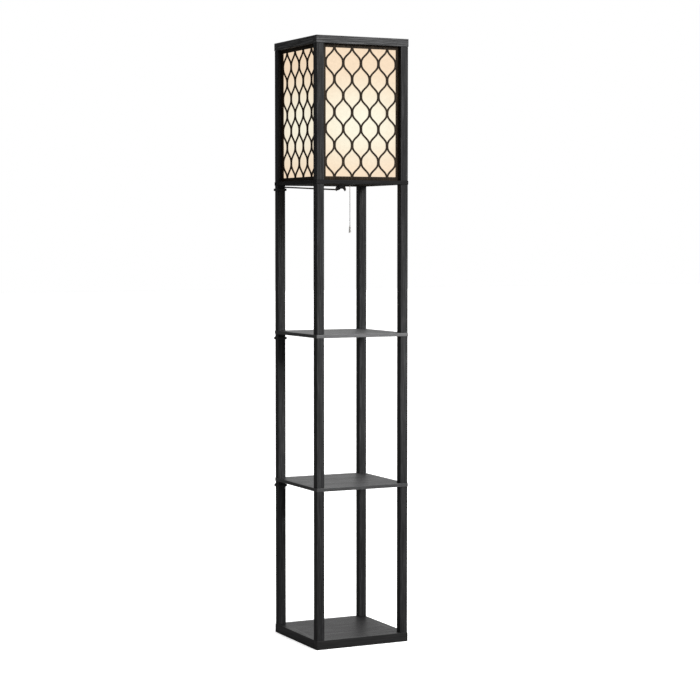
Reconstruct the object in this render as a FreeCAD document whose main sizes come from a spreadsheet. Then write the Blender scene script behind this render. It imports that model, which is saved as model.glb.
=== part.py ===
import FreeCAD, Part
import math
import os
import Sketcher
from FreeCAD import Placement, Rotation, Vector

# Shelf floor lamp: a square base, two thin shelves and a square lamp shade, one above the
# other on corner posts. Every corner post is four separate lengths, and each board lies
# between two levels of posts. Millimetres, +Z up, origin at the middle of the base's
# underside; -Y is the front and +X the right-hand side.

SIZES = (
    ("footprint", 266.0, "outer faces of the posts, across the lamp"),
    ("post_side", 21.0, "square section of every post"),
    ("post_length", 392.0, "each of the three lower levels of posts"),
    ("shade_post_length", 352.0, "posts of the shade"),
    ("board_overhang", 1.0, "boards and rails stand this far past the posts"),
    ("base_thickness", 24.0, "base panel and its edge rails"),
    ("shelf_thickness", 9.0, "the two shelves"),
    ("shade_floor_thickness", 10.0, "board under the shade"),
    ("top_rail_height", 20.0, "rails of the open top frame"),
    ("shade_floor_ledge", 34.0, "width of the shade floor round its openings"),
    ("lamp_bar_width", 34.0, "bar across the shade floor that carries the lamp holder"),
    ("stud_diameter", 6.0, "studs, bolts and dowels"),
    ("stud_hole_depth", 22.0, "holes in the ends of the posts"),
    ("stud_end_gap", 1.0, "left free at the end of each stud"),
    ("bolt_hole_clearance", 0.4, "boards' holes are this much wider than the studs"),
    ("bolt_head_diameter", 13.0, "heads of the base bolts"),
    ("bolt_head_height", 5.0, "heads of the base bolts"),
    ("bolt_head_recess", 8.0, "depth of the counterbores under the base"),
    ("dowel_depth", 12.0, "dowel holes in the top rails"),
    ("panel_recess", 10.0, "from the posts' outer faces back to the fretwork"),
    ("fret_thickness", 3.0, "fretwork panel"),
    ("fret_border", 9.5, "plain border round the fretwork"),
    ("fret_columns", 4.0, "full openings across the fretwork"),
    ("fret_rows", 7.0, "rows of full openings"),
    ("fret_edge_share", 0.9, "outermost rows reach this share of a row past their middles"),
    ("strand_width", 4.6, "width of the fretwork's strands"),
    ("strand_offset", 1.2, "two strands that merge run this far off their shared line"),
    ("diffuser_thickness", 1.2, "linen-faced sheet behind the fretwork"),
    ("nipple_diameter", 10.0, "threaded tube through the lamp bar"),
    ("nipple_bore", 7.0, "cord passage in the nipple"),
    ("nipple_rise", 8.0, "nipple above the shade floor"),
    ("fitting_clearance", 0.1, "round a piece that is screwed or pushed into another"),
    ("wing_hub_height", 9.0, "hub of the wing nut"),
    ("wing_hub_diameter", 16.0, "hub of the wing nut at its seat"),
    ("wing_hub_nose", 12.5, "hub of the wing nut at its lower end"),
    ("wing_span", 31.0, "across both wings"),
    ("wing_drop", 16.8, "from the nut's seat to the tips of its wings"),
    ("wing_thickness", 2.6, "each wing"),
    ("holder_cap_radius", 17.5, "cup at the bottom of the lamp holder"),
    ("holder_cap_height", 20.0, "cup at the bottom of the lamp holder"),
    ("holder_wall", 1.4, "wall of the cap and shell"),
    ("holder_shell_height", 46.0, "outer shell of the lamp holder"),
    ("holder_shell_lap", 5.0, "how far the shell reaches down over the cap"),
    ("switch_block_height", 20.0, "moulded block with the pull switch"),
    ("switch_block_lift", 9.0, "block's underside above the shade floor"),
    ("screw_shell_radius", 13.5, "inside of the brass screw shell"),
    ("screw_shell_wall", 0.5, "wall of the brass screw shell"),
    ("screw_shell_height", 26.0, "brass screw shell"),
    ("contact_length", 10.0, "spring tab under the bulb"),
    ("contact_width", 5.0, "spring tab under the bulb"),
    ("contact_height", 1.2, "spring tab under the bulb"),
    ("bulb_cap_radius", 13.0, "screw cap of the bulb"),
    ("bulb_cap_height", 26.0, "screw cap of the bulb"),
    ("bulb_gap", 0.3, "bulb above the spring tab"),
    ("bulb_radius", 30.0, "round end of the bulb"),
    ("bulb_neck_radius", 14.2, "neck of the bulb at its cap"),
    ("bulb_glass_height", 86.0, "glass of the bulb"),
    ("chain_reach", 27.5, "chain from the middle of the lamp"),
    ("spout_radius", 3.2, "bell-mouth that guides the chain"),
    ("spout_height", 13.0, "bell-mouth that guides the chain"),
    ("spout_lift", 3.0, "mouth of the spout above the shade floor"),
    ("spout_crown", 2.0, "closed top of the bell-mouth"),
    ("spout_arm_radius", 2.4, "arm between lamp holder and bell-mouth"),
    ("link_drop", 1.0, "chain's top link below the bell-mouth"),
    ("chain_radius", 1.2, "top link and eye of the pull chain"),
    ("chain_core_radius", 0.9, "pull chain, as a plain rod"),
    ("link_clearance", 0.3, "chain's top link in the bell-mouth"),
    ("swing_gap", 0.3, "between the top link and the chain"),
    ("bell_bottom", 127.0, "bell's lower end below the shade"),
    ("bell_height", 19.0, "bell on the chain's end"),
    ("bell_radius", 3.3, "bell on the chain's end"),
    ("tie_height", 5.5, "cord ties round the rear left post"),
    ("tie_thickness", 2.5, "cord ties round the rear left post"),
    ("tie_drop", 11.0, "middle of each tie below the board above it"),
    ("cord_diameter", 4.0, "lamp cord"),
    ("cord_stand_off", 3.4, "cord's middle line from the rear faces of the posts"),
    ("cord_slack", 0.6, "between the cord and the roof of a tie"),
    ("hank_run_half", 34.0, "waist of the hank to the start of its turns"),
    ("hank_step", 4.8, "between neighbouring loops of the hank"),
    ("hank_layer_step", 4.9, "between the hank's two layers"),
    ("hank_waist_draw", 5.0, "each run is drawn in this far at the waist"),
    ("hank_inner_half", 12.5, "half width of the hank's innermost turn"),
    ("hank_tie_width", 9.0, "tie round the hank"),
    ("hank_tie_wall", 1.0, "tie round the hank"),
    ("hank_tie_slack", 0.8, "between the tie and the hank"),
    ("plug_width", 24.0, "plug body across its blades"),
    ("plug_tail_width", 11.0, "plug body at its cord end"),
    ("plug_height", 14.0, "plug body, lying flat"),
    ("plug_length", 26.0, "plug body"),
    ("plug_relief_length", 20.0, "tapered strain relief of the plug"),
    ("plug_relief_radius", 4.6, "strain relief where it leaves the plug"),
    ("relief_tip_radius", 2.8, "strain relief where the cord enters"),
    ("blade_thickness", 1.5, "plug blades"),
    ("blade_width", 6.3, "plug blades"),
    ("blade_length", 16.0, "plug blades"),
    ("blade_spacing", 12.7, "between the middles of the blades"),
)

doc = FreeCAD.newDocument("shelf_floor_lamp")
sheet = doc.addObject("Spreadsheet::Sheet", "sizes")
for row, (alias, number, note) in enumerate(SIZES, start=1):
    sheet.set(f"A{row}", alias)
    sheet.set(f"B{row}", str(number))
    sheet.setAlias(f"B{row}", alias)
    sheet.set(f"C{row}", note)
doc.recompute()


class Size:
    """A length that carries its formula over the sheet's cells and its value."""

    def __init__(self, formula, value):
        self.formula = formula
        self.value = value

    def combined(self, sign, other, value):
        return Size(f"({self.formula} {sign} {other.formula})", value)

    def __add__(self, other):
        other = as_size(other)
        return self.combined("+", other, self.value + other.value)

    def __sub__(self, other):
        other = as_size(other)
        return self.combined("-", other, self.value - other.value)

    def __mul__(self, other):
        other = as_size(other)
        return self.combined("*", other, self.value * other.value)

    def __truediv__(self, other):
        other = as_size(other)
        return self.combined("/", other, self.value / other.value)

    def __neg__(self):
        return as_size(0) - self


def as_size(length):
    if isinstance(length, Size):
        return length
    return Size(str(float(length)), float(length))


class Cells:
    """The sheet's cells, read by their names."""

    def __getattr__(self, alias):
        return Size(f"sizes.{alias}", float(sheet.get(alias)))


cell = Cells()
nodes = []


# ---------------------------------------------------------------- modelling helpers


def bind(thing, path, length):
    thing.setExpression(path, as_size(length).formula)


UPRIGHT = Vector(0, 0, 1)
ACROSS = Vector(0, 1, 0)
QUARTER_TURN = 90

# Round pieces and their holes are drawn with flat sides, in the same directions.
LARGE_SIDES = 20
SMALL_SIDES = 12
STUD_SIDES = 8


def place(thing, x=0, y=0, z=0, turn=0, axis=UPRIGHT):
    """Put the piece at x, y, z, turned about the vertical or another axis."""
    thing.Placement = Placement(Vector(), Rotation(axis, turn))
    for letter, distance in zip("xyz", (x, y, z)):
        bind(thing, f"Placement.Base.{letter}", distance)


def keep(thing, label):
    """Name a finished piece and put it on the list of nodes."""
    thing.Label = label
    nodes.append(thing)
    return thing


def new_body(label):
    return keep(doc.addObject("PartDesign::Body", label), label)


def new_sketch(body, role):
    sketch = body.newObject("Sketcher::SketchObject", f"{body.Name}_sketch")
    plane = next(item for item in body.Origin.OriginFeatures if item.Role == role)
    sketch.AttachmentSupport = [(plane, "")]
    sketch.MapMode = "FlatFace"
    return sketch


def hold_point(sketch, geometry, end, u, v):
    """Hold a point of the sketch at its distances u, v from the two axes."""
    for kind, axis_line, length in (("DistanceX", -2, as_size(u)), ("DistanceY", -1, as_size(v))):
        if length.value == 0:
            sketch.addConstraint(Sketcher.Constraint("PointOnObject", geometry, end, axis_line))
        else:
            constraint = Sketcher.Constraint(kind, -1, 1, geometry, end, length.value)
            index = sketch.addConstraint(constraint)
            bind(sketch, f"Constraints[{index}]", length)


def draw_outline(sketch, corners):
    """Closed outline of straight edges through corners, each held by its two distances."""
    first = sketch.GeometryCount
    points = [Vector(as_size(u).value, as_size(v).value, 0) for u, v in corners]
    following = points[1:] + points[:1]
    for start, end in zip(points, following):
        sketch.addGeometry(Part.LineSegment(start, end), False)
    for index, (u, v) in enumerate(corners):
        before = first + (index - 1) % len(corners)
        sketch.addConstraint(Sketcher.Constraint("Coincident", before, 2, first + index, 1))
        hold_point(sketch, first + index, 1, u, v)


def rectangle(width, depth):
    """Corners of a rectangle about the axes."""
    u = as_size(width) / 2
    v = as_size(depth) / 2
    return [(-u, -v), (u, -v), (u, v), (-u, v)]


def pad(body, sketch, length, midplane=False):
    feature = body.newObject("PartDesign::Pad", f"{body.Name}_pad")
    feature.Profile = sketch
    if midplane:
        feature.Midplane = True
    bind(feature, "Length", length)
    return feature


def box(label, width, depth, height):
    """Plain board, standing on its local origin and centred on it in plan."""
    body = new_body(label)
    sketch = new_sketch(body, "XY_Plane")
    draw_outline(sketch, rectangle(width, depth))
    pad(body, sketch, height)
    return body


def square_bar(width, depth, height, x=0, y=0, z=0):
    """Block centred on x, y in plan, as a building block of a larger piece."""
    block = doc.addObject("Part::Box", "block")
    bind(block, "Length", width)
    bind(block, "Width", depth)
    bind(block, "Height", height)
    place(block, as_size(x) - as_size(width) / 2, as_size(y) - as_size(depth) / 2, z)
    return block


def round_bar(radius, height, x=0, y=0, z=0, sides=SMALL_SIDES):
    """Upright round bar, as a building block of a larger piece."""
    bar = doc.addObject("Part::Prism", "round_bar")
    bar.Polygon = sides
    bind(bar, "Circumradius", radius)
    bind(bar, "Height", height)
    place(bar, x, y, z)
    return bar


def turned(rings, sides=LARGE_SIDES):
    """Solid of revolution through level rings, each (radius, height), from the bottom up."""
    levels = []
    for radius, height in rings:
        reach = as_size(radius).value
        turns = [2 * math.pi * side / sides for side in range(sides)]
        z = as_size(height).value
        levels.append([Vector(reach * math.cos(turn), reach * math.sin(turn), z) for turn in turns])
    outlines = [levels[0], levels[-1]]
    for low, high in zip(levels, levels[1:]):
        outlines += [(low[side - 1], low[side], high[side], high[side - 1]) for side in range(sides)]
    faces = [Part.Face(Part.makePolygon([*outline, outline[0]])) for outline in outlines]
    solid = Part.Solid(Part.Shell(faces))
    if solid.Volume < 0:
        solid.reverse()
    feature = doc.addObject("Part::Feature", "turned")
    feature.Shape = solid
    return feature


def combine(kind, label, pieces):
    """Part::Compound, Part::MultiFuse and the like from a list of pieces."""
    result = doc.addObject(kind, label)
    if kind == "Part::Compound":
        result.Links = pieces
    else:
        result.Shapes = pieces
    return result


def cut(label, blank, tools):
    """The blank with every tool cut out of it."""
    result = doc.addObject("Part::Cut", label)
    result.Base = blank
    result.Tool = tools[0] if len(tools) == 1 else combine("Part::MultiFuse", "tools", tools)
    return result


def solid_feature(label, shape, placement=None):
    """A piece whose form is worked out below from the sheet's values."""
    feature = keep(doc.addObject("Part::Feature", label), label)
    feature.Shape = shape
    if placement:
        feature.Placement = placement
    return feature


# ---------------------------------------------------------------- levels and corners

post_middle = (cell.footprint - cell.post_side) / 2
board_side = cell.footprint + cell.board_overhang * 2
rail_width = cell.post_side + cell.board_overhang
rail_middle = (board_side - rail_width) / 2
opening_width = cell.footprint - cell.post_side * 2

lower_shelf_bottom = cell.base_thickness + cell.post_length
middle_post_bottom = lower_shelf_bottom + cell.shelf_thickness
upper_shelf_bottom = middle_post_bottom + cell.post_length
upper_post_bottom = upper_shelf_bottom + cell.shelf_thickness
shade_floor_bottom = upper_post_bottom + cell.post_length
shade_floor_top = shade_floor_bottom + cell.shade_floor_thickness
top_rail_bottom = shade_floor_top + cell.shade_post_length

CORNERS = (
    ("front_left", -1, -1),
    ("front_right", 1, -1),
    ("back_right", 1, 1),
    ("back_left", -1, 1),
)
SIDES = (("front", 0), ("right", 90), ("back", 180), ("left", 270))


def outward(distance, turn):
    """x and y of the point that lies this far out on the side that faces the turn."""
    x = round(math.sin(math.radians(turn)))
    y = -round(math.cos(math.radians(turn)))
    return distance * x, distance * y


# ---------------------------------------------------------------- base, posts and shelves


def stud_bars(radius, height, z, spots):
    """The same upright bar at several places in plan."""
    return [round_bar(radius, height, x, y, z, STUD_SIDES) for x, y in spots]


CORNER_SPOTS = [(post_middle * right, post_middle * back) for _, right, back in CORNERS]


def add_post(label, x, y, z, length):
    """Square post with a blind stud hole in each end."""
    blank = square_bar(cell.post_side, cell.post_side, length)
    depth = cell.stud_hole_depth
    holes = [stud_bars(cell.stud_diameter / 2, depth, end, [(0, 0)])[0] for end in (0, length - depth)]
    place(keep(cut(label, blank, holes), label), x, y, z)


def add_post_level(level, z, length):
    for (corner, _, _), (x, y) in zip(CORNERS, CORNER_SPOTS):
        add_post(f"{level}_post_{corner}", x, y, z, length)


def add_board(label, z, thickness, openings=()):
    """Square board between two levels of posts, with a stud hole at each corner."""
    radius = (cell.stud_diameter + cell.bolt_hole_clearance) / 2
    holes = stud_bars(radius, thickness, 0, CORNER_SPOTS)
    blank = square_bar(board_side, board_side, thickness)
    place(keep(cut(label, blank, holes + list(openings)), label), z=z)


def add_end_rail(label, turn, z, height, hole_radius, hole_depth, recess=()):
    """Full-width rail with a hole from below over or under each corner post."""
    inset = rail_middle - post_middle
    spots = [(-post_middle, inset), (post_middle, inset)]
    holes = stud_bars(hole_radius, hole_depth, 0, spots)
    if recess:
        holes += stud_bars(*recess, 0, spots)
    x, y = outward(rail_middle, turn)
    blank = square_bar(board_side, rail_width, height)
    place(keep(cut(label, blank, holes), label), x, y, z, turn)


def add_side_rail(label, turn, z, height):
    """Rail that fits between the two full-width rails."""
    body = box(label, board_side - rail_width * 2, rail_width, height)
    x, y = outward(rail_middle, turn)
    place(body, x, y, z, turn)


def add_base():
    panel_side = board_side - rail_width * 2
    box("base_panel", panel_side, panel_side, cell.base_thickness)
    hole = (cell.stud_diameter + cell.bolt_hole_clearance) / 2
    head = (cell.bolt_head_diameter + cell.bolt_hole_clearance) / 2
    height = cell.base_thickness
    for side, turn in SIDES:
        label = f"base_rail_{side}"
        if side in ("front", "back"):
            add_end_rail(label, turn, 0, height, hole, height, (head, cell.bolt_head_recess))
        else:
            add_side_rail(label, turn, 0, height)


def add_top_frame():
    height = cell.top_rail_height
    for side, turn in SIDES:
        label = f"top_rail_{side}"
        if side in ("front", "back"):
            add_end_rail(label, turn, top_rail_bottom, height, cell.stud_diameter / 2, cell.dowel_depth)
        else:
            add_side_rail(label, turn, top_rail_bottom, height)


def add_shade_floor():
    """Board under the shade: an opening on each side of the bar that carries the lamp."""
    thickness = cell.shade_floor_thickness
    near = cell.lamp_bar_width / 2
    far = board_side / 2 - cell.shade_floor_ledge
    openings = [round_bar(cell.nipple_diameter / 2 + cell.fitting_clearance, thickness)]
    for side in (-1, 1):
        openings.append(square_bar(far - near, far * 2, thickness, (near + far) / 2 * side))
    add_board("shade_floor", shade_floor_bottom, thickness, openings)


def corner_fasteners(z, parts):
    """The same upright fastener at all four corners; parts are (radius, height, lift)."""
    fasteners = []
    for x, y in CORNER_SPOTS:
        bars = [round_bar(radius, height, x, y, z + lift, STUD_SIDES) for radius, height, lift in parts]
        if len(bars) > 1:
            bars = [combine("Part::MultiFuse", "stepped_bar", bars)]
        fasteners.extend(bars)
    return fasteners


def add_fasteners():
    """Bolts from under the base, double-ended studs through the boards, dowels at the top."""
    radius = cell.stud_diameter / 2
    reach = cell.stud_hole_depth - cell.stud_end_gap
    seat = cell.bolt_head_recess
    head = (cell.bolt_head_diameter / 2, cell.bolt_head_height, -cell.bolt_head_height)
    shank = (radius, cell.base_thickness - seat + reach, as_size(0))
    bolts = corner_fasteners(seat, [head, shank])
    keep(combine("Part::Compound", "base_bolts", bolts), "base_bolts")

    studs = []
    for board_bottom, thickness in (
        (lower_shelf_bottom, cell.shelf_thickness),
        (upper_shelf_bottom, cell.shelf_thickness),
        (shade_floor_bottom, cell.shade_floor_thickness),
    ):
        bar = (radius, thickness + reach * 2, as_size(0))
        studs += corner_fasteners(board_bottom - reach, [bar])
    keep(combine("Part::Compound", "joining_studs", studs), "joining_studs")

    dowel = (radius, reach + cell.dowel_depth - cell.stud_end_gap, as_size(0))
    dowels = corner_fasteners(top_rail_bottom - reach, [dowel])
    keep(combine("Part::Compound", "top_frame_dowels", dowels), "top_frame_dowels")


# ---------------------------------------------------------------- fretwork and diffusers

# Heights of an opening's corners, as shares of the height of its pointed tip.
OPENING_CORNER_SHARES = (0.0, 0.33, 0.7)
BISECTION_STEPS = 40


class Ogee:
    """One opening of the ogee lattice, measured from its middle."""

    def __init__(self):
        opening = opening_width.value - 2 * cell.fret_border.value
        height = cell.shade_post_length.value - 2 * cell.fret_border.value
        rows_in_height = cell.fret_rows.value - 1 + 2 * cell.fret_edge_share.value
        self.half_pitch = opening / cell.fret_columns.value / 2
        self.row_pitch = height / rows_in_height
        self.offset = cell.strand_offset.value
        self.strand = cell.strand_width.value
        self.tip = self.tip_height()

    def half_width(self, height):
        """Half the opening's width at a height: the strand swings from one merge to the next."""
        turn = 2 * math.pi * height / self.row_pitch
        swing = self.half_pitch - 2 * self.offset
        middle = self.half_pitch - self.offset - swing * (turn - math.sin(turn)) / (2 * math.pi)
        slope = swing * (1 - math.cos(turn)) / self.row_pitch
        return middle - self.strand / 2 * math.hypot(1, slope)

    def tip_height(self):
        """Height at which the two strands over an opening meet."""
        low = self.row_pitch / 2
        high = self.row_pitch
        for _ in range(BISECTION_STEPS):
            middle = (low + high) / 2
            if self.half_width(middle) > 0:
                low = middle
            else:
                high = middle
        return low

    def wire(self, x, z):
        """Closed wire of the opening whose middle is at x, z."""
        heights = [share * self.tip for share in OPENING_CORNER_SHARES]
        right = [(self.half_width(height), height) for height in heights]
        left = [(-u, v) for u, v in right]
        upper = left + [(0, self.tip)] + right[::-1]
        lower = [(-u, -v) for u, v in upper[1:-1]]
        points = [Vector(x + u, 0, z + v) for u, v in upper + lower]
        return Part.makePolygon(points + points[:1])


def plain_face(width, bottom, top):
    """Upright rectangle, centred on the vertical axis."""
    corners = [(-1, bottom), (1, bottom), (1, top), (-1, top), (-1, bottom)]
    return Part.Face(Part.makePolygon([Vector(side * width / 2, 0, z) for side, z in corners]))


def lattice_openings(ogee, window):
    """Outlines of all openings: rows alternate, and those at the window's edge are cut by it."""
    pitch = ogee.half_pitch * 2
    rows = int(cell.fret_rows.value)
    columns = int(cell.fret_columns.value)
    middle_z = cell.shade_post_length.value / 2
    wires = []
    for row in range(-1, rows + 1):
        z = middle_z + (row - (rows - 1) / 2) * ogee.row_pitch
        shifted = row % 2
        for column in range(columns + shifted):
            x = (column - (columns - 1 + shifted) / 2) * pitch
            opening = Part.Face(ogee.wire(x, z)).common(window)
            wires += [face.OuterWire for face in opening.Faces]
    return wires


def add_shade_panels():
    """The cut lattice panel and, behind it, the diffuser sheet on each of the four sides."""
    ogee = Ogee()
    width = opening_width.value
    height = cell.shade_post_length.value
    border = cell.fret_border.value
    window = plain_face(width - 2 * border, border, height - border)
    blank = plain_face(width, 0, height)
    wires = [blank.OuterWire] + lattice_openings(ogee, window)
    face = Part.makeFace(wires, "Part::FaceMakerBullseye")
    lattice = face.extrude(Vector(0, cell.fret_thickness.value, 0))
    front = cell.footprint / 2 - cell.panel_recess
    sheet_middle = front - cell.fret_thickness - cell.diffuser_thickness / 2
    for side, turn in SIDES:
        x, y = outward(front.value, turn)
        spot = Placement(Vector(x, y, shade_floor_top.value), Rotation(Vector(0, 0, 1), turn))
        solid_feature(f"fretwork_{side}", lattice, spot)
    for side, turn in SIDES:
        body = box(f"diffuser_{side}", opening_width, cell.diffuser_thickness, cell.shade_post_length)
        x, y = outward(sheet_middle, turn)
        place(body, x, y, shade_floor_top, turn)


# ---------------------------------------------------------------- lamp holder and bulb


def tube(label, inner, outer, height, z, sides=LARGE_SIDES):
    bore = round_bar(inner, height, z=z, sides=sides)
    return keep(cut(label, round_bar(outer, height, z=z, sides=sides), [bore]), label)


# Corners of a wing, as shares of half the wing span and of the drop to the wing's tip.
WING_LEAF = ((0.62, 0.06), (0.88, 0.27), (1.0, 0.58), (0.96, 0.83), (0.78, 1.0), (0.64, 0.76))
WING_ROOT = (0.08, 0.5)


def add_wing_nut():
    """Wing nut that clamps the lamp holder from below, its wings hanging past its hub."""
    bore = cell.nipple_diameter / 2 + cell.fitting_clearance
    nose = cell.wing_hub_nose / 2
    seat = shade_floor_bottom
    end = seat - cell.wing_hub_height
    wings = doc.addObject("PartDesign::Body", "wings")
    root = (nose + bore) / 2
    leaf = [(cell.wing_span / 2 * u, -cell.wing_drop * v) for u, v in WING_LEAF]
    top, bottom = (-cell.wing_drop * share for share in WING_ROOT)
    outline = [(root, top)] + leaf + [(root, bottom)]
    for side in (-1, 1):
        wing = new_sketch(wings, "XZ_Plane")
        draw_outline(wing, [(u * side, v) for u, v in outline])
        pad(wings, wing, cell.wing_thickness, midplane=True)
    place(wings, z=seat)
    hub = turned([(nose, end), (cell.wing_hub_diameter / 2, seat)])
    solid = combine("Part::MultiFuse", "hub_and_wings", [hub, wings])
    hole = round_bar(bore, cell.wing_hub_height, z=end)
    keep(cut("wing_nut", solid, [hole]), "wing_nut")


def add_lamp_holder():
    """Pull-chain lamp holder, from the nipple up to the tab in the screw shell."""
    floor = shade_floor_top
    gap = cell.fitting_clearance
    nipple_radius = cell.nipple_diameter / 2
    nipple_bottom = shade_floor_bottom - cell.wing_hub_height
    nipple_length = floor + cell.nipple_rise - nipple_bottom
    tube("threaded_nipple", cell.nipple_bore / 2, nipple_radius, nipple_length, nipple_bottom, SMALL_SIDES)

    radius = cell.holder_cap_radius
    inner = radius - cell.holder_wall
    height = cell.holder_cap_height
    cup = round_bar(radius, height, z=floor, sides=LARGE_SIDES)
    wall = cell.holder_wall
    hollow = round_bar(inner, height - wall, z=floor + wall, sides=LARGE_SIDES)
    hole = round_bar(nipple_radius + gap, wall, z=floor)
    arm_hole = round_bar(cell.spout_arm_radius + gap, radius)
    place(arm_hole, 0, 0, floor + arm_height, QUARTER_TURN, ACROSS)
    keep(cut("holder_cap", cup, [hollow, hole, arm_hole]), "holder_cap")

    shell_bottom = floor + height - cell.holder_shell_lap
    tube("holder_shell", radius + gap, radius + gap + wall, cell.holder_shell_height, shell_bottom)

    block_bottom = floor + cell.switch_block_lift
    block = round_bar(inner - gap, cell.switch_block_height, z=block_bottom, sides=LARGE_SIDES)
    keep(block, "switch_block")

    bore = cell.screw_shell_radius
    tube("screw_shell", bore, bore + cell.screw_shell_wall, cell.screw_shell_height, block_top)
    contact = box("centre_contact", cell.contact_length, cell.contact_width, cell.contact_height)
    place(contact, z=block_top)


# Angles of the corners on the bulb's round end, in degrees above its middle.
BULB_ANGLES = (-30, -10, 10, 30, 50, 68, 82)
NECK_STEPS = 3
# Tip and shoulder of the bulb's cap, as shares of its radius.
CAP_TIP = 0.35
CAP_SHOULDER = 0.4


def add_bulb():
    """Screw-in bulb: a metal cap and a solid frosted glass with a round end and a flared neck."""
    seat = block_top + cell.contact_height + cell.bulb_gap
    radius = cell.bulb_cap_radius
    glass_bottom = seat + cell.bulb_cap_height
    cap = [(radius * CAP_TIP, seat), (radius, seat + radius * CAP_SHOULDER), (radius, glass_bottom)]
    keep(turned(cap), "bulb_cap")

    turns = [math.radians(angle) for angle in BULB_ANGLES]
    middle = glass_bottom + cell.bulb_glass_height - cell.bulb_radius * math.sin(turns[-1])
    round_end = []
    for turn in turns:
        round_end.append((cell.bulb_radius * math.cos(turn), middle + cell.bulb_radius * math.sin(turn)))
    neck = cell.bulb_neck_radius
    flare, flare_height = round_end[0]
    rise = flare_height - glass_bottom
    shares = [step / NECK_STEPS for step in range(NECK_STEPS)]
    neck_line = [(neck + (flare - neck) * share**2, glass_bottom + rise * share) for share in shares]
    keep(turned(neck_line + round_end), "bulb_glass")


# The bell's waist and crown, as shares of its radius and height.
BELL_WAIST = (0.85, 0.45)
BELL_CROWN = 0.45


def add_pull_chain():
    """Spout on the lamp holder's side, the link that the switch holds, the chain and its bell."""
    x = cell.chain_reach
    bore_depth = cell.spout_height - cell.spout_crown
    mouth_piece = round_bar(cell.spout_radius, cell.spout_height, x, 0, spout_mouth)
    arm_start = cell.holder_cap_radius - cell.holder_wall / 2
    arm = round_bar(cell.spout_arm_radius, x - arm_start)
    place(arm, arm_start, 0, shade_floor_top + arm_height, QUARTER_TURN, ACROSS)
    solid = combine("Part::MultiFuse", "spout_solid", [mouth_piece, arm])
    bore = round_bar(cell.chain_radius + cell.link_clearance, bore_depth, x, 0, spout_mouth)
    keep(cut("chain_spout", solid, [bore]), "chain_spout")

    link_bottom = spout_mouth - cell.link_drop
    link_length = cell.link_drop + bore_depth - cell.swing_gap
    keep(round_bar(cell.chain_radius, link_length, x, 0, link_bottom), "chain_link")

    pivot = link_bottom - cell.swing_gap - cell.chain_radius
    bell_bottom = shade_floor_bottom - cell.bell_bottom
    bell_top = bell_bottom + cell.bell_height
    eye = doc.addObject("Part::Cylinder", "eye")
    bind(eye, "Radius", cell.chain_radius)
    bind(eye, "Height", cell.chain_radius * 2)
    place(eye, x - cell.chain_radius, 0, pivot, QUARTER_TURN, ACROSS)
    chain = round_bar(cell.chain_core_radius, pivot - bell_top, x, 0, bell_top)
    keep(combine("Part::MultiFuse", "pull_chain", [eye, chain]), "pull_chain")
    print(f"chain swings at x {x.value:.1f}, z {pivot.value:.2f}")

    radius = cell.bell_radius
    waist, waist_height = BELL_WAIST
    skirt = [(radius, 0), (radius * waist, cell.bell_height * waist_height)]
    bell = keep(turned(skirt + [(radius * BELL_CROWN, cell.bell_height)], SMALL_SIDES), "chain_bell")
    place(bell, x, 0, bell_bottom)


# ---------------------------------------------------------------- cord, ties, hank and plug

# The cord's middle line: out of the wing nut, tight to the rear left post, round its corner,
# straight down behind it under the three ties, and loosely to the floor behind the base.
CORD_ROUTE = (
    (0, 0, 1217),
    (0, 0, 1205.6),
    (-109.5, 138, 1214.6),
    (-118, 137, 1212.2),
    (-122, 136.4, 1202.5),
    (-122.3, 136.4, 392),
    (-121.6, 137.3, 336),
    (-122.8, 138.2, 279),
    (-121.4, 137.4, 224),
    (-122.9, 138.3, 168),
    (-121.8, 137.6, 114),
    (-123.2, 138.4, 66),
    (-121.5, 138.4, 32),
    (-109, 138.1, 9),
    (-94, 138, 3.8),
)
# Runs of the hank: those on the floor, one that climbs, and those on top of them.
HANK_FLOOR_RUNS = 4
HANK_TOP_RUNS = 2
HANK_WAIST_RADIUS = 30.0
HANK_LEAD = 8.0
# The hank's turns leave this share of their width for the run between two turns.
HANK_TURN_SHARE = 0.98
PLUG_TAIL = (50.0, 148.0)
# Points of the stretch from the hank down to the floor and up into the plug, each as shares
# of the way along it, across it, and up from the floor to the end that is nearer.
TAIL_SHARES = ((0.16, 0.0, 1.0), (0.45, 0.5, 0.0), (0.68, 1.0, 0.3), (0.88, 1.0, 1.0))
CORD_SIDES = 6
GAP_SAMPLE_STEP = 2.0
# Points of the cord nearer than this many diameters along it are neighbours.
NEIGHBOUR_SPAN = 5
# Radius of a cord's arc, as a share of its shorter run.
ARC_SHARE = 0.45
# Ends of the path's pieces closer than this are the same point.
TOUCHING = 1e-3


def turn_angle(before, corner, after):
    return (corner - before).getAngle(after - corner)


def natural_radii(points):
    """Each arc as large as its two runs allow."""
    radii = []
    for before, corner, after in zip(points, points[1:], points[2:]):
        shorter = min((corner - before).Length, (after - corner).Length)
        radii.append(ARC_SHARE * shorter / math.tan(turn_angle(before, corner, after) / 2))
    return radii


def rounded_path(points, radii):
    """Wire of straight runs through the points, joined by tangent arcs."""
    edges = []
    reached = points[0]
    for before, corner, after, radius in zip(points, points[1:], points[2:], radii):
        half_turn = turn_angle(before, corner, after) / 2
        tangent = radius * math.tan(half_turn)
        inward = (before - corner).normalize()
        onward = (after - corner).normalize()
        start = corner + inward * tangent
        end = corner + onward * tangent
        bisector = (inward + onward).normalize()
        middle = corner + bisector * (radius / math.cos(half_turn) - radius)
        if not start.isEqual(reached, TOUCHING):
            edges.append(Part.makeLine(reached, start))
        edges.append(Part.Arc(start, middle, end).toShape())
        reached = end
    edges.append(Part.makeLine(reached, points[-1]))
    return Part.Wire(edges)


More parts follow.
